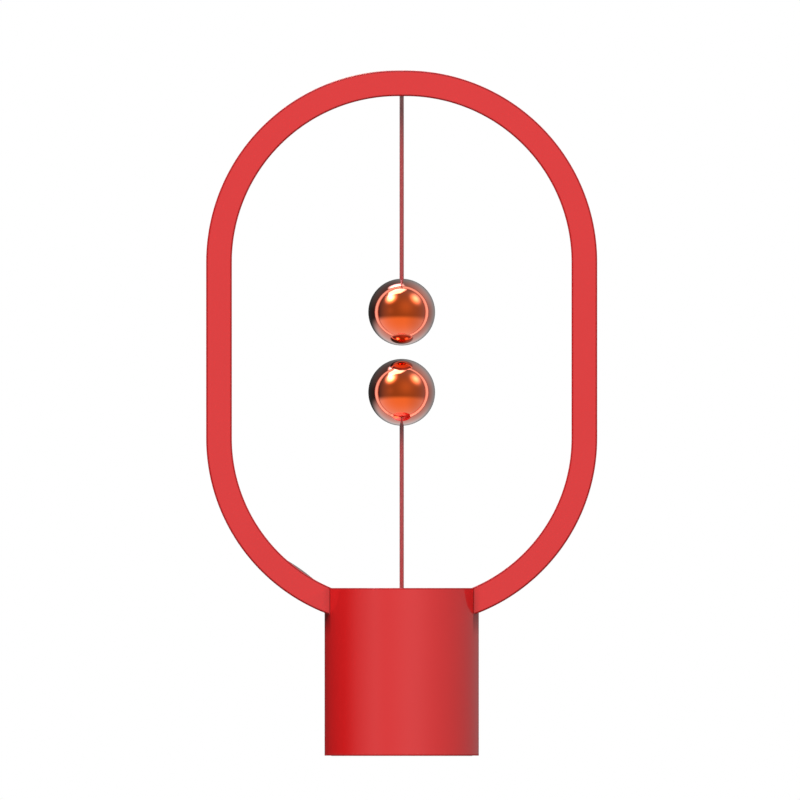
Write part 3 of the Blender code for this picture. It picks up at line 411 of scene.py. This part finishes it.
# Finishes
def shellPaint():
    paint = {
        "colour": rgb(0.70, 0.010, 0.011),
        "deeper": rgb(0.67, 0.008, 0.009),
        "cloudScale": 26,
        "roughness": 0.40,
        "cloudRoughness": 0.08,
        "specular": 0.2,
        "coatRoughness": 0.08,
        "coatIor": 1.9,
        "soften": 0.65,                 # how much of the coat goes at glancing angles
        "peel": {"scale": 900, "strength": 0.06, "depth": 0.0002},
    }
    scuffed = {
        "colour": rgb(0.70, 0.16, 0.15),
        "scale": 1400,
        "height": (0.0006, 0.0022),
        "spots": (0.52, 0.66),
        "share": 0.4,
        "roughness": 0.25,
    }
    # painted shade on the rounded edges; the edges that face up, which catch more light, get the darker
    # colour
    edges = {
        "colour": rgb(0.42, 0.014, 0.015),
        "upwardsShade": rgb(0.18, 0.020, 0.022),
        "faceUp": (0.0, 0.7),
        "faceDown": (0.2, 0.7),
        "start": (0.000005, 0.00004),
        "fade": 0.0004,
        "core": (0.00025, 0.00060),
        "coreLoss": 0.7,
        "roughness": 0.2,
    }
    # painted shade: dark lines just below the base's top and just above the table
    rim = {
        "top": (0.0010, 0.0007),        # below the base's top
        "topShare": 0.8,
        "foot": (0.0009, 0.0013),       # above the table
        "footShare": 0.7,
        "inside": (0.0008, 0.0004),
    }
    # painted shade in the corners where the ring's legs enter the base
    corner = {
        "colour": rgb(0.26, 0.004, 0.005),
        "ringReach": 0.0045,
        "ringShare": 0.26,
        "baseReach": 0.0020,
        "baseDepth": (0.0300, 0.0165),
        "baseShare": 0.8,
        "coatLoss": 0.6,
    }
    border = (0.0001, 0.0003)           # just past the base's wall and top
    material, bench = newMaterial("satin red paint")
    x, y, z = bench.split(bench.place())
    cloud = bench.noise(paint["cloudScale"], 3)
    colour = bench.blend(cloud, paint["colour"], paint["deeper"])

    scuff = 1 - bench.step(z, *scuffed["height"])
    scuff = scuff * bench.step(bench.noise(scuffed["scale"], 4), *scuffed["spots"])
    colour = bench.blend(scuff * scuffed["share"], colour, scuffed["colour"])

    # painted shade over the rounded edges, along the ring's faces and round the base's top and foot: a
    # darker line where the rounding turns away from the light, darker still where an edge faces up
    away = (x * x + y * y) ** 0.5
    outside = bench.step(away, baseHigh.x + border[0], baseHigh.x + border[1])
    above = bench.step(z, baseHigh.z + border[0], baseHigh.z + border[1])
    onBase = (1 - outside) * (1 - above)
    normalZ = bench.split(bench.node("NewGeometry", out="Normal"))[2]
    facesUp = bench.step(normalZ, *edges["faceUp"])
    facesDown = bench.step(-normalZ, *edges["faceDown"])
    back = ring["half"] - abs(y)
    edgeShade = bench.step(back, *edges["start"])
    edgeShade = edgeShade * (1 - bench.step(back, ring["edge"], ring["edge"] + edges["fade"]))
    edgeShade = edgeShade * (1 - edges["coreLoss"] * bench.step(back, *edges["core"]) * (1 - facesDown))
    # the same painted shade as a line round the base's top and round its foot
    onRim = rim["topShare"] * bench.step(z, baseHigh.z - rim["top"][0], baseHigh.z - rim["top"][1])
    onRim = onRim + rim["footShare"] * (1 - bench.step(z, *rim["foot"]))
    onRim = onRim * bench.step(away, baseHigh.x - rim["inside"][0], baseHigh.x - rim["inside"][1])
    edgeShade = edgeShade * (1 - onBase) + onRim * onBase
    colour = bench.blend(edgeShade, colour, bench.blend(facesUp, edges["colour"], edges["upwardsShade"]))

    # and painted shade darkens the corners where the ring's legs enter the base, on the ring's face and
    # on the base's wall below the legs, and takes away some of the coat there
    byRing = 1 - bench.step(away, baseHigh.x, baseHigh.x + corner["ringReach"])
    byLeg = bench.step(z, baseHigh.z - corner["baseDepth"][0], baseHigh.z - corner["baseDepth"][1])
    byLeg = byLeg * (1 - bench.step(abs(y), ring["half"], ring["half"] + corner["baseReach"]))
    cornerShade = corner["ringShare"] * byRing * outside + corner["baseShare"] * byLeg * (1 - outside)
    cornerShade = cornerShade * (1 - above)
    colour = bench.blend(cornerShade, colour, corner["colour"])

    rough = paint["roughness"] + (cloud - 0.5) * paint["cloudRoughness"]
    rough = rough + scuff * scuffed["roughness"] + edgeShade * edges["roughness"]
    coat = (1 - edgeShade) * (1 - cornerShade * corner["coatLoss"]) * (1 - paint["soften"] * bench.facing())
    peel = paint["peel"]
    normal = bench.bump(bench.noise(peel["scale"]), peel["strength"], peel["depth"])
    bench.output(bench.shader(Base_Color=colour, Roughness=rough, Normal=normal, Coat_Weight=coat,
                              Coat_Roughness=paint["coatRoughness"], Coat_IOR=paint["coatIor"],
                              Specular_IOR_Level=paint["specular"]))
    return material


def copperPlate():
    # plated copper under clear lacquer, which takes over towards the outline
    plate = {
        "copper": rgb(0.87, 0.127, 0.022),
        "deeper": rgb(0.86, 0.122, 0.020),
        "lacquer": rgb(0.82, 0.67, 0.64),
        "smudgeScale": 70,
        "roughness": 0.05,
        "smudgeRoughness": 0.03,
        "hairline": {"scale": 2600, "strength": 0.015, "depth": 0.00004},
        "edgeGain": 1.66,
        "edgePower": 1.77,
    }
    material, bench = newMaterial("lacquered copper plate")
    smudge = bench.noise(plate["smudgeScale"], 4, 0.6)
    rough = plate["roughness"] + (smudge - 0.5) * plate["smudgeRoughness"]
    hairline = plate["hairline"]
    normal = bench.bump(bench.noise(hairline["scale"]), hairline["strength"], hairline["depth"])
    tint = bench.blend(smudge, plate["copper"], plate["deeper"])
    metal = bench.shader(Base_Color=tint, Metallic=1.0, Roughness=rough, Normal=normal)
    clear = bench.shader(Base_Color=plate["lacquer"], Metallic=1.0, Roughness=rough, Normal=normal)
    edge = bench.node("Math", {"operation": "MULTIPLY", "use_clamp": True},
                      {0: bench.facing() ** plate["edgePower"], 1: plate["edgeGain"]})
    bench.output(bench.node("MixShader", None, {0: edge, 1: metal, 2: clear}))
    return material


def opalPlastic():
    opal = {
        "colour": rgb(0.36, 0.355, 0.35),
        "duller": rgb(0.33, 0.325, 0.32),
        "hazeScale": 55,
        "middleGlow": rgb(1.0, 0.98, 0.95),
        "edgeGlow": rgb(0.40, 0.39, 0.375),
        "strength": 1.15,
        "hazeGlow": 0.2,
        "roughness": 0.42,
        "grain": {"scale": 2200, "roughness": 0.1, "strength": 0.05, "depth": 0.0001},
    }
    material, bench = newMaterial("opal diffuser")
    haze = bench.noise(opal["hazeScale"], 3)
    fine = opal["grain"]
    grain = bench.noise(fine["scale"])
    across = abs(bench.split(bench.place())[1]) / (ring["half"] - ring["lipWidth"])
    lit = (1 - across ** 2) * (1 - opal["hazeGlow"] / 2 + haze * opal["hazeGlow"])
    bench.output(bench.shader(Base_Color=bench.blend(haze, opal["colour"], opal["duller"]),
                              Roughness=opal["roughness"] + (grain - 0.5) * fine["roughness"],
                              Normal=bench.bump(grain, fine["strength"], fine["depth"]),
                              Emission_Color=bench.blend(lit, opal["edgeGlow"], opal["middleGlow"]),
                              Emission_Strength=opal["strength"]))
    return material


def smokeLens():
    # the cover on the diffuser: it glows on its face and is grey round its rim
    lens = {
        "face": rgb(0.34, 0.33, 0.325),
        "rim": rgb(0.15, 0.12, 0.115),
        "faceGlow": rgb(0.80, 0.78, 0.75),
        "rimGlow": rgb(0.02, 0.02, 0.02),
        "strength": 0.85,
        "rimFrom": (0.0120, 0.0131),
        "roughness": 0.35,
        "grain": {"scale": 1800, "roughness": 0.15, "strength": 0.06, "depth": 0.0002},
    }
    material, bench = newMaterial("smoke grey lens")
    fine = lens["grain"]
    grain = bench.noise(fine["scale"], 3)
    onRim = bench.step(abs(bench.split(bench.place())[1]), *lens["rimFrom"])
    bench.output(bench.shader(Base_Color=bench.blend(onRim, lens["face"], lens["rim"]),
                              Roughness=lens["roughness"] + (grain - 0.5) * fine["roughness"],
                              Normal=bench.bump(grain, fine["strength"], fine["depth"]),
                              Emission_Color=bench.blend(onRim, lens["faceGlow"], lens["rimGlow"]),
                              Emission_Strength=lens["strength"]))
    return material


def braidedCord():
    braid = {
        "strands": 8,
        "pitch": 0.0042,
        "light": rgb(0.36, 0.026, 0.026),
        "dark": rgb(0.27, 0.018, 0.019),
        "shadow": rgb(0.03, 0.012, 0.012),
        # painted shade below the lower ball and under the ring's top
        "byBall": {"from": 0.1775, "to": 0.1880, "share": 0.45},
        "byRing": {"from": 0.3485, "to": 0.3740, "share": 0.52},
        "upperCord": (0.1980, 0.2080),
        "fibreScale": 9000,
        "fibreShare": 0.2,
        "lightFrom": (-0.1, 0.9),
        "roughness": 0.5,
        "fibreRoughness": 0.2,
        "coatRoughness": 0.45,
        "relief": {"strength": 0.2, "depth": 0.0001},
    }
    material, bench = newMaterial("fine braided red cord")
    x, y, z = bench.split(bench.place())
    turn = bench.maths("ARCTAN2", y, x) * (braid["strands"] / 2)
    climb = z * (math.tau * braid["strands"] / 2 / braid["pitch"] / 2)
    over = bench.maths("MAXIMUM", bench.maths("SINE", turn + climb), bench.maths("SINE", turn - climb))
    fibre = bench.noise(braid["fibreScale"])
    height = over * (1 - braid["fibreShare"]) + fibre * braid["fibreShare"]
    colour = bench.blend(bench.step(height, *braid["lightFrom"]), braid["dark"], braid["light"])

    # painted shade where it enters the lower ball and where it leaves the ring, standing in for the
    # shadow that the ball and the ring's top cast on it
    ball, top = braid["byBall"], braid["byRing"]
    onUpper = bench.step(z, *braid["upperCord"])
    shade = bench.step(z, ball["from"], ball["to"]) * (1 - onUpper) * ball["share"]
    shade = shade + bench.step(z, top["from"], top["to"]) * top["share"]
    colour = bench.blend(shade, colour, braid["shadow"])
    relief = braid["relief"]
    bench.output(bench.shader(Base_Color=colour,
                              Roughness=braid["roughness"] + (fibre - 0.5) * braid["fibreRoughness"],
                              Specular_IOR_Level=1.0, Coat_Weight=1 - bench.facing() ** 2,
                              Coat_Roughness=braid["coatRoughness"],
                              Normal=bench.bump(height, relief["strength"], relief["depth"])))
    return material


def mouldedPlastic(name, colour, shade, roughness, grainScale=1800, strength=0.08):
    moulded = {"cloudScale": 90, "grainRoughness": 0.15, "depth": 0.0002}
    material, bench = newMaterial(name)
    grain = bench.noise(grainScale, 3)
    tone = bench.blend(bench.noise(moulded["cloudScale"]), colour, shade)
    rough = roughness + (grain - 0.5) * moulded["grainRoughness"]
    bench.output(bench.shader(Base_Color=tone, Roughness=rough,
                              Normal=bench.bump(grain, strength, moulded["depth"])))
    return material


def brushedMetal(name, colour, shade, roughness, lineScale=2700):
    brushed = {
        "stretch": (1, 1, 0.12),
        "lineRoughness": 0.2,
        "relief": {"strength": 0.12, "depth": 0.0001},
        "stainScale": 160,
        "stained": (0.35, 0.75),
    }
    material, bench = newMaterial(name)
    place = bench.place()
    stretched = bench.node("Mapping", None, {"Vector": place, "Scale": brushed["stretch"]})
    lines = bench.noise(lineScale, 2, 0.6, stretched)
    stain = bench.step(bench.noise(brushed["stainScale"], 3, 0.5, place), *brushed["stained"])
    rough = roughness + (lines - 0.5) * brushed["lineRoughness"]
    relief = brushed["relief"]
    bench.output(bench.shader(Base_Color=bench.blend(stain, colour, shade), Metallic=1.0, Roughness=rough,
                              Normal=bench.bump(lines, relief["strength"], relief["depth"])))
    return material


def circuitGreen():
    board = {
        "mask": rgb(0.012, 0.11, 0.045),
        "track": rgb(0.03, 0.20, 0.08),
        "cellScale": 420,
        "trackWidth": (0.03, 0.09),
        "roughness": 0.35,
        "trackRoughness": 0.15,
        "relief": {"strength": 0.3, "depth": 0.0001},
    }
    material, bench = newMaterial("solder mask green")
    cells = bench.node("TexVoronoi", {"feature": "DISTANCE_TO_EDGE"},
                       {"Vector": bench.place(), "Scale": board["cellScale"]}, "Distance")
    track = 1 - bench.step(cells, *board["trackWidth"])
    relief = board["relief"]
    bench.output(bench.shader(Base_Color=bench.blend(track, board["mask"], board["track"]),
                              Roughness=board["roughness"] + track * board["trackRoughness"],
                              Normal=bench.bump(track, relief["strength"], relief["depth"])))
    return material


plastics = {         # name, colour, shade, roughness, and for some the grain's scale and strength
    "rubber": ("pale rubber", rgb(0.60, 0.59, 0.58), rgb(0.52, 0.51, 0.50), 0.8, 2600, 0.25),
    "black_plastic": ("black plastic", rgb(0.03, 0.03, 0.033), rgb(0.04, 0.04, 0.043), 0.5),
    "grey_plastic": ("smoke grey plastic", rgb(0.42, 0.37, 0.36), rgb(0.35, 0.31, 0.30), 0.4),
    "white_plastic": ("white plastic", rgb(0.78, 0.78, 0.76), rgb(0.72, 0.72, 0.70), 0.45),
    "wire": ("wire sheath", rgb(0.74, 0.74, 0.72), rgb(0.68, 0.68, 0.66), 0.38, 3200, 0.04),
}
metals = {           # name, colour, stain, roughness, and for one the scale of its lines
    "screw_steel": ("zinc plated steel", rgb(0.60, 0.61, 0.62), rgb(0.50, 0.50, 0.50), 0.32),
    "magnet_steel": ("nickel plated magnet", rgb(0.68, 0.67, 0.66), rgb(0.60, 0.60, 0.59), 0.18),
    "ballast_iron": ("cast iron", rgb(0.10, 0.10, 0.11), rgb(0.16, 0.12, 0.10), 0.65, 900),
    "crimp_brass": ("brass", rgb(0.78, 0.55, 0.24), rgb(0.62, 0.42, 0.18), 0.28),
}
finishes = {
    "red_shell": shellPaint(),
    "copper_mirror": copperPlate(),
    "opal_diffuser": opalPlastic(),
    "red_cord": braidedCord(),
    "board_green": circuitGreen(),
}
for slot, look in plastics.items():
    finishes[slot] = mouldedPlastic(*look)
for slot, look in metals.items():
    finishes[slot] = brushedMetal(*look)
for part in frame["record"]["subparts"]:
    node = nodes[part["node"]]
    node.data.materials.clear()
    node.data.materials.append(finishes[part["material_slot"]])
print("finishes on", len(nodes), "nodes")


# Meshes
def makePiece(name, points, faces, slot, body, stands=(), sharp=smoothBelow):
    mesh = bpy.data.meshes.new(name)
    mesh.from_pydata([tuple(point) for point in points], [], faces)
    bm = bmesh.new()
    bm.from_mesh(mesh)
    bmesh.ops.remove_doubles(bm, verts=bm.verts, dist=weld)
    bmesh.ops.delete(bm, geom=[edge for edge in bm.edges if not edge.link_faces], context="EDGES")
    bmesh.ops.delete(bm, geom=[vertex for vertex in bm.verts if not vertex.link_faces], context="VERTS")
    bmesh.ops.recalc_face_normals(bm, faces=bm.faces)
    bm.to_mesh(mesh)
    bm.free()
    mesh.shade_smooth()
    mesh.set_sharp_from_angle(angle=math.radians(sharp))
    piece = bpy.data.objects.new(name, mesh)
    scene.collection.objects.link(piece)
    if slot:
        mesh.materials.append(finishes[slot])
    if body:
        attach(piece, body)
    if stands:
        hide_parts(*stands)
    return piece


def loopFaces(rings, closed, capped=False):
    # quads between rings of equal length, which are closed loops of points
    size = len(rings[0])
    faces = []
    pairs = list(zip(range(len(rings)), range(1, len(rings))))
    if closed:
        pairs.append((len(rings) - 1, 0))
    for here, there in pairs:
        for index in range(size):
            after = (index + 1) % size
            faces.append((here * size + index, here * size + after,
                          there * size + after, there * size + index))
    if capped:
        faces.append(tuple(range(size)))
        faces.append(tuple((len(rings) - 1) * size + index for index in range(size)))
    return faces


def held(outline, close=0.00006, longest=0.0012):
    # long straight sides get a point near each end, so that smooth shading keeps them flat
    points = []
    for here, there in zip(outline, outline[1:] + outline[:1]):
        points.append(here)
        length = math.dist(here, there)
        if length > longest:
            for share in (close / length, 1 - close / length):
                points.append((here[0] + (there[0] - here[0]) * share,
                               here[1] + (there[1] - here[1]) * share))
    return points


def turned(outline, steps):
    # a closed outline of (radius, height) turned about Z
    outline = held(outline)
    rings = []
    for index in range(steps):
        cosine, sine = math.cos(math.tau * index / steps), math.sin(math.tau * index / steps)
        rings.append([(radius * cosine, radius * sine, height) for radius, height in outline])
    return sum(rings, []), loopFaces(rings, True)


def section(place, outward, outline):
    return [place + outward * out + Vector((0, across, 0)) for out, across in outline]


def swept(stations, outline):
    # a closed outline of (outward, across) carried along stations of (place, outward)
    outline = held(outline)
    rings = [section(place, outward, outline) for place, outward in stations]
    return sum(rings, []), loopFaces(rings, False, True)


def arc(centre, radius, start, end, steps):
    points = []
    for index in range(steps + 1):
        angle = start + (end - start) * index / steps
        points.append((centre[0] + radius * math.cos(angle), centre[1] + radius * math.sin(angle)))
    return points


def rounded(corner, radius, quarter, steps):
    # a quarter circle about a corner's centre, counted from the +X side
    return arc(corner, radius, quarter * math.pi / 2, (quarter + 1) * math.pi / 2, steps)


def cutAway(piece, cutters):
    for points, faces in cutters:
        cutter = makePiece("cutter", points, faces, None, None)
        step = piece.modifiers.new("cut", "BOOLEAN")
        step.operation = "DIFFERENCE"
        step.solver = "EXACT"
        step.object = cutter
    bpy.context.view_layer.update()
    finished = piece.evaluated_get(bpy.context.evaluated_depsgraph_get())
    mesh = bpy.data.meshes.new_from_object(finished)
    piece.modifiers.clear()
    piece.data = mesh
    mesh.shade_smooth()
    mesh.set_sharp_from_angle(angle=math.radians(smoothBelow))
    for cutter in [thing for thing in bpy.data.objects if thing.name.startswith("cutter")]:
        bpy.data.objects.remove(cutter, do_unlink=True)


# Ring: two half shells that meet on the middle plane, with the diffuser between their lips
def arcStations(centreX, centreZ, radius, start, end, steps):
    stations = []
    for x, z in arc((centreX, centreZ), radius, start, end, steps):
        outward = Vector((x - centreX, 0, z - centreZ)).normalized()
        stations.append((Vector((x, 0, z)), outward))
    return stations


def ringStations(legAngle):
    # along the inner face, from the left leg's end over the top to the right leg's
    quarter = math.pi / 2
    low, top = ring["lowFlatHalf"], ring["topFlatHalf"]
    corner, leg = ring["cornerSteps"], ring["legSteps"]
    line = arcStations(-low, ring["lowZ"], ring["lowRadius"], math.pi + legAngle, math.pi, leg)
    line += arcStations(-top, ring["topZ"], ring["topRadius"], math.pi, quarter, corner)
    line += arcStations(top, ring["topZ"], ring["topRadius"], quarter, 0, corner)
    line += arcStations(low, ring["lowZ"], ring["lowRadius"], 0, -legAngle, leg)
    return line


diffuser = {
    "crown": 0.0004,
    "edgeDrop": 0.0002,
    "edgeWidth": 0.0006,
    "wing": 0.0012,
    "drillBelow": 0.004,
    "drillSteps": 48,
}


def buildRing():
    half, band, edge, wall = ring["half"], ring["band"], ring["edge"], ring["wall"]
    slot = half - ring["lipWidth"]
    seam = ring["seam"] / 2
    outline = [(band, seam)]
    outline += rounded((band - edge, half - edge), edge, 0, ring["edgeSteps"])
    outline += rounded((edge, half - edge), edge, 1, ring["edgeSteps"])
    outline += [(0, slot), (ring["lip"], slot), (ring["lip"], half - wall),
                (band - wall, half - wall), (band - wall, seam)]
    line = ringStations(ring["legAngle"])
    halves = (("ring_front", -1, "frame_front_shell"), ("ring_rear", 1, "frame_rear_shell"))
    for name, side, node in halves:
        points, faces = swept(line, [(out, across * side) for out, across in outline])
        makePiece(name, points, faces, "red_shell", "lamp_base", [node])

    face = slot - gap
    wing = half - wall - gap
    crown, flat = diffuser["crown"], face - diffuser["edgeWidth"]
    drop = crown + diffuser["edgeDrop"]
    low = ring["lip"] + gap
    high = low + diffuser["wing"]
    outline = [(drop, -face), (crown, -flat), (crown, flat), (drop, face), (low, face), (low, wing),
               (high, wing), (high, -wing), (low, -wing), (low, -face)]
    points, faces = swept(line, outline)
    glowing = makePiece("diffuser", points, faces, "opal_diffuser", "lamp_base", ["light_diffuser"])
    bushLow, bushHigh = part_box("upper_cord_bush")
    drillFrom = bushLow.z - diffuser["drillBelow"]
    drill = [(0, drillFrom), (bushHole, drillFrom), (bushHole, bushHigh.z), (0, bushHigh.z)]
    cutAway(glowing, [turned(drill, diffuser["drillSteps"])])


feedCover = {
    "from": 229.0,                      # degrees round the low arc
    "to": 240.1,
    "steps": 28,
    "halfWidth": 0.0134,
    "rise": 0.00085,
    "crown": 1.06,
    "least": 0.00006,
    "power": 0.9,
    "round": 0.0008,
    "side": ((0.3, 0), (0.8, 0.4), (1.0, 1.0)),       # shares of the rise and of the rounding
    "foot": 0.0006,
    "smoothBelow": 50,
}


def buildFeedCover():
    # a low crowned cover on the inner face, which thins to nothing at both ends
    steps, foot = feedCover["steps"], feedCover["foot"]
    wide, corner = feedCover["halfWidth"], feedCover["round"]
    line = arcStations(-ring["lowFlatHalf"], ring["lowZ"], ring["lowRadius"],
                       math.radians(feedCover["from"]), math.radians(feedCover["to"]), steps)
    side = [(share, wide - corner * inwards) for share, inwards in feedCover["side"]]
    rings = []
    for index, (place, outward) in enumerate(line):
        swell = math.sin(math.pi * index / steps) ** feedCover["power"]
        rise = feedCover["least"] + feedCover["rise"] * swell
        outline = [(foot, -wide), (foot, wide)]
        outline += [(-rise * share, across) for share, across in side]
        outline += [(-rise * feedCover["crown"], 0)]
        outline += [(-rise * share, -across) for share, across in reversed(side)]
        rings.append(section(place, outward, outline))
    piece = makePiece("feed_cover", sum(rings, []), loopFaces(rings, False, True), "grey_plastic",
                      "lamp_base", ["strip_feed_cover"], feedCover["smoothBelow"])
    piece.data.materials[0] = smokeLens()


buildRing()
buildFeedCover()
print("ring built")


# Base: a round shell and a lid that lies flush in it, both cut for the ring's legs
base = {
    "wall": 0.0025,
    "edge": 0.00045,
    "innerEdge": 0.0002,
    "legPress": 0.00003,
    "foot": 0.0002,
    "footEdge": 0.00015,
    "lidThickness": 0.0025,
    "windowReach": 0.002,
    "edgeSteps": 4,
    "innerSteps": 3,
    "steps": 160,
}


def legRoom():
    # rounded like the ring itself and a hair tighter, so that no light shows past the legs
    edge, half, band = ring["edge"], ring["half"], ring["band"]
    near, far = half - edge, band - edge
    outline = []
    for quarter, middle in enumerate(((far, near), (edge, near), (edge, -near), (far, -near))):
        outline += rounded(middle, edge - base["legPress"], quarter, ring["edgeSteps"])
    return swept(ringStations(ring["legAngle"] + gap / ring["lowRadius"]), outline)


def socketWindow(inner, radius):
    low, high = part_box("power_socket")
    wide, bottom, top = high.x + gap, low.z - gap, high.z + gap
    rings = []
    for y in (inner - base["windowReach"], radius + base["windowReach"]):
        rings.append([(-wide, y, bottom), (wide, y, bottom), (wide, y, top), (-wide, y, top)])
    return sum(rings, []), loopFaces(rings, False, True)


def buildBase():
    radius, top, low = baseHigh.x, baseHigh.z, base["foot"]
    inner, edge, innerEdge = radius - base["wall"], base["edge"], base["innerEdge"]
    footEdge, edgeSteps, innerSteps = base["footEdge"], base["edgeSteps"], base["innerSteps"]
    outline = [(inner, low), (radius - footEdge, low)]
    outline += rounded((radius - footEdge, low + footEdge), footEdge, -1, edgeSteps)[1:]
    outline += rounded((radius - edge, top - edge), edge, 0, edgeSteps)
    outline += rounded((inner + innerEdge, top - innerEdge), innerEdge, 1, innerSteps)
    points, faces = turned(outline, base["steps"])
    shell = makePiece("base_body", points, faces, "red_shell", "lamp_base", ["base_shell"])
    cutAway(shell, [legRoom(), socketWindow(inner, radius)])

    lidRadius, under = inner - gap, top - base["lidThickness"]
    outline = [(bushHole, under), (lidRadius, under)]
    outline += rounded((lidRadius - innerEdge, top - innerEdge), innerEdge, 0, innerSteps)
    outline += rounded((bushHole + innerEdge, top - innerEdge), innerEdge, 1, innerSteps)
    points, faces = turned(outline, base["steps"])
    lid = makePiece("base_top", points, faces, "red_shell", "lamp_base", ["base_lid"])
    cutAway(lid, [legRoom()])


buildBase()
print("base built")


# Cord bushes with rolled mouths
bush = {
    "body": 0.0052,
    "throat": 0.0022,
    "flange": 0.0012,
    "edgeSteps": 4,
    "rollSteps": 6,
    "steps": 48,
    "lower": {"mouth": 0.0034, "roll": 0.0006, "edge": 0.0003, "funnel": (0.0022, 0.0028)},
    "upper": {"mouth": 0.0045, "roll": 0.00035, "neck": 0.003, "neckDepth": 0.005, "funnel": 0.0024,
              "flangeAbove": 0.0038},
}


def buildBushes():
    body, throat, flange, steps = bush["body"], bush["throat"], bush["flange"], bush["steps"]
    edgeSteps = bush["edgeSteps"]
    low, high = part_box("lower_cord_bush")
    shape = bush["lower"]
    roll, edge = shape["roll"], shape["edge"]
    outline = [(throat, low.z), (high.x, low.z), (high.x, low.z + flange), (body, low.z + flange)]
    outline += rounded((body - edge, high.z - edge), edge, 0, edgeSteps)
    outline += rounded((shape["mouth"] + roll, high.z - roll), roll, 1, bush["rollSteps"])
    outline += [(throat + edge, high.z - shape["funnel"][0]), (throat, high.z - shape["funnel"][1])]
    points, faces = turned(outline, steps)
    makePiece("lower_grommet", points, faces, "grey_plastic", "lamp_base", ["lower_cord_bush"])

    low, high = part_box("upper_cord_bush")
    shape = bush["upper"]
    roll, neck, shoulder = shape["roll"], shape["neck"], high.z - shape["neckDepth"]
    rest = ring["ceiling"] + shape["flangeAbove"]
    outline = [(high.x, rest), (high.x, rest + flange), (body, rest + flange), (body, high.z),
               (neck, high.z), (neck, shoulder), (throat, shoulder), (throat, low.z + shape["funnel"])]
    outline += rounded((shape["mouth"] + roll, low.z + roll), roll, 2, edgeSteps)
    outline += rounded((body - roll, low.z + roll), roll, -1, edgeSteps)
    outline += [(body, rest)]
    points, faces = turned(outline, steps)
    makePiece("upper_grommet", points, faces, "grey_plastic", "lamp_base", ["upper_cord_bush"])


buildBushes()
print("bushes built")


# Balls: one seamless plated skin each, with the edge of the cord's hole rolled in
ball = {"hole": 0.00155, "roll": 0.00035, "rollSteps": 6, "well": 0.0021, "steps": 128, "rings": 72}


def buildBall(name, body, cordHalf, magnetHalf, side):
    # side is 1 where the cord enters on top and -1 where it enters below
    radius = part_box(cordHalf)[1].x
    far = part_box(magnetHalf)
    centre = far[0].z + radius if side > 0 else far[1].z - radius
    lipRadius = ball["hole"] + ball["roll"]
    lipAngle = math.acos(lipRadius / radius)
    outline = [(0, radius - ball["well"]), (ball["hole"], radius - ball["well"])]
    lipHeight = radius * math.sin(lipAngle) - ball["roll"]
    outline += arc((lipRadius, lipHeight), ball["roll"], math.pi, lipAngle, ball["rollSteps"])
    outline += arc((0, 0), radius, lipAngle, -math.pi / 2, ball["rings"])[1:-1]
    outline += [(0, -radius)]
    outline = [(away, centre + side * height) for away, height in outline]
    points, faces = turned(outline, ball["steps"])
    makePiece(name, points, faces, "copper_mirror", body, [cordHalf, magnetHalf])


buildBall("upper_ball", "upper_ball", "upper_ball_cord_half", "upper_ball_magnet_half", 1)
buildBall("lower_ball", "lower_ball", "lower_ball_cord_half", "lower_ball_magnet_half", -1)
print("balls built")


# Cords: both are taut, from a bush to a ball
cords = {
    "radius": 0.00125,
    "steps": 20,
    "spacing": 0.004,
    "smoothBelow": 60,
    "upper": [(0, 0, 0.3864), (0, 0, 0.2765)],
    "lower": [(0, 0, 0.0956), (0, 0, 0.1947)],
    "drop": 0.0905,                     # how far the lower ball comes down
}


def cordMesh(name, route, body, node):
    start, end = Vector(route[0]), Vector(route[-1])
    length = (end - start).length
    count = math.ceil(length / cords["spacing"])
    path = [start.lerp(end, index / count) for index in range(count + 1)]
    rings = []
    for place in path:
        loop = []
        for index in range(cords["steps"]):
            angle = math.tau * index / cords["steps"]
            loop.append(place + Vector((math.cos(angle), math.sin(angle), 0)) * cords["radius"])
        rings.append(loop)
    piece = makePiece(name, sum(rings, []), loopFaces(rings, False, True), "red_cord", body, [node],
                      cords["smoothBelow"])
    return piece


cordMesh("upper_line", cords["upper"], "upper_ball", "upper_cord")
lowerLine = cordMesh("lower_line", cords["lower"], "lower_line", "lower_cord")
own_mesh(lowerLine)
print("cords strung")
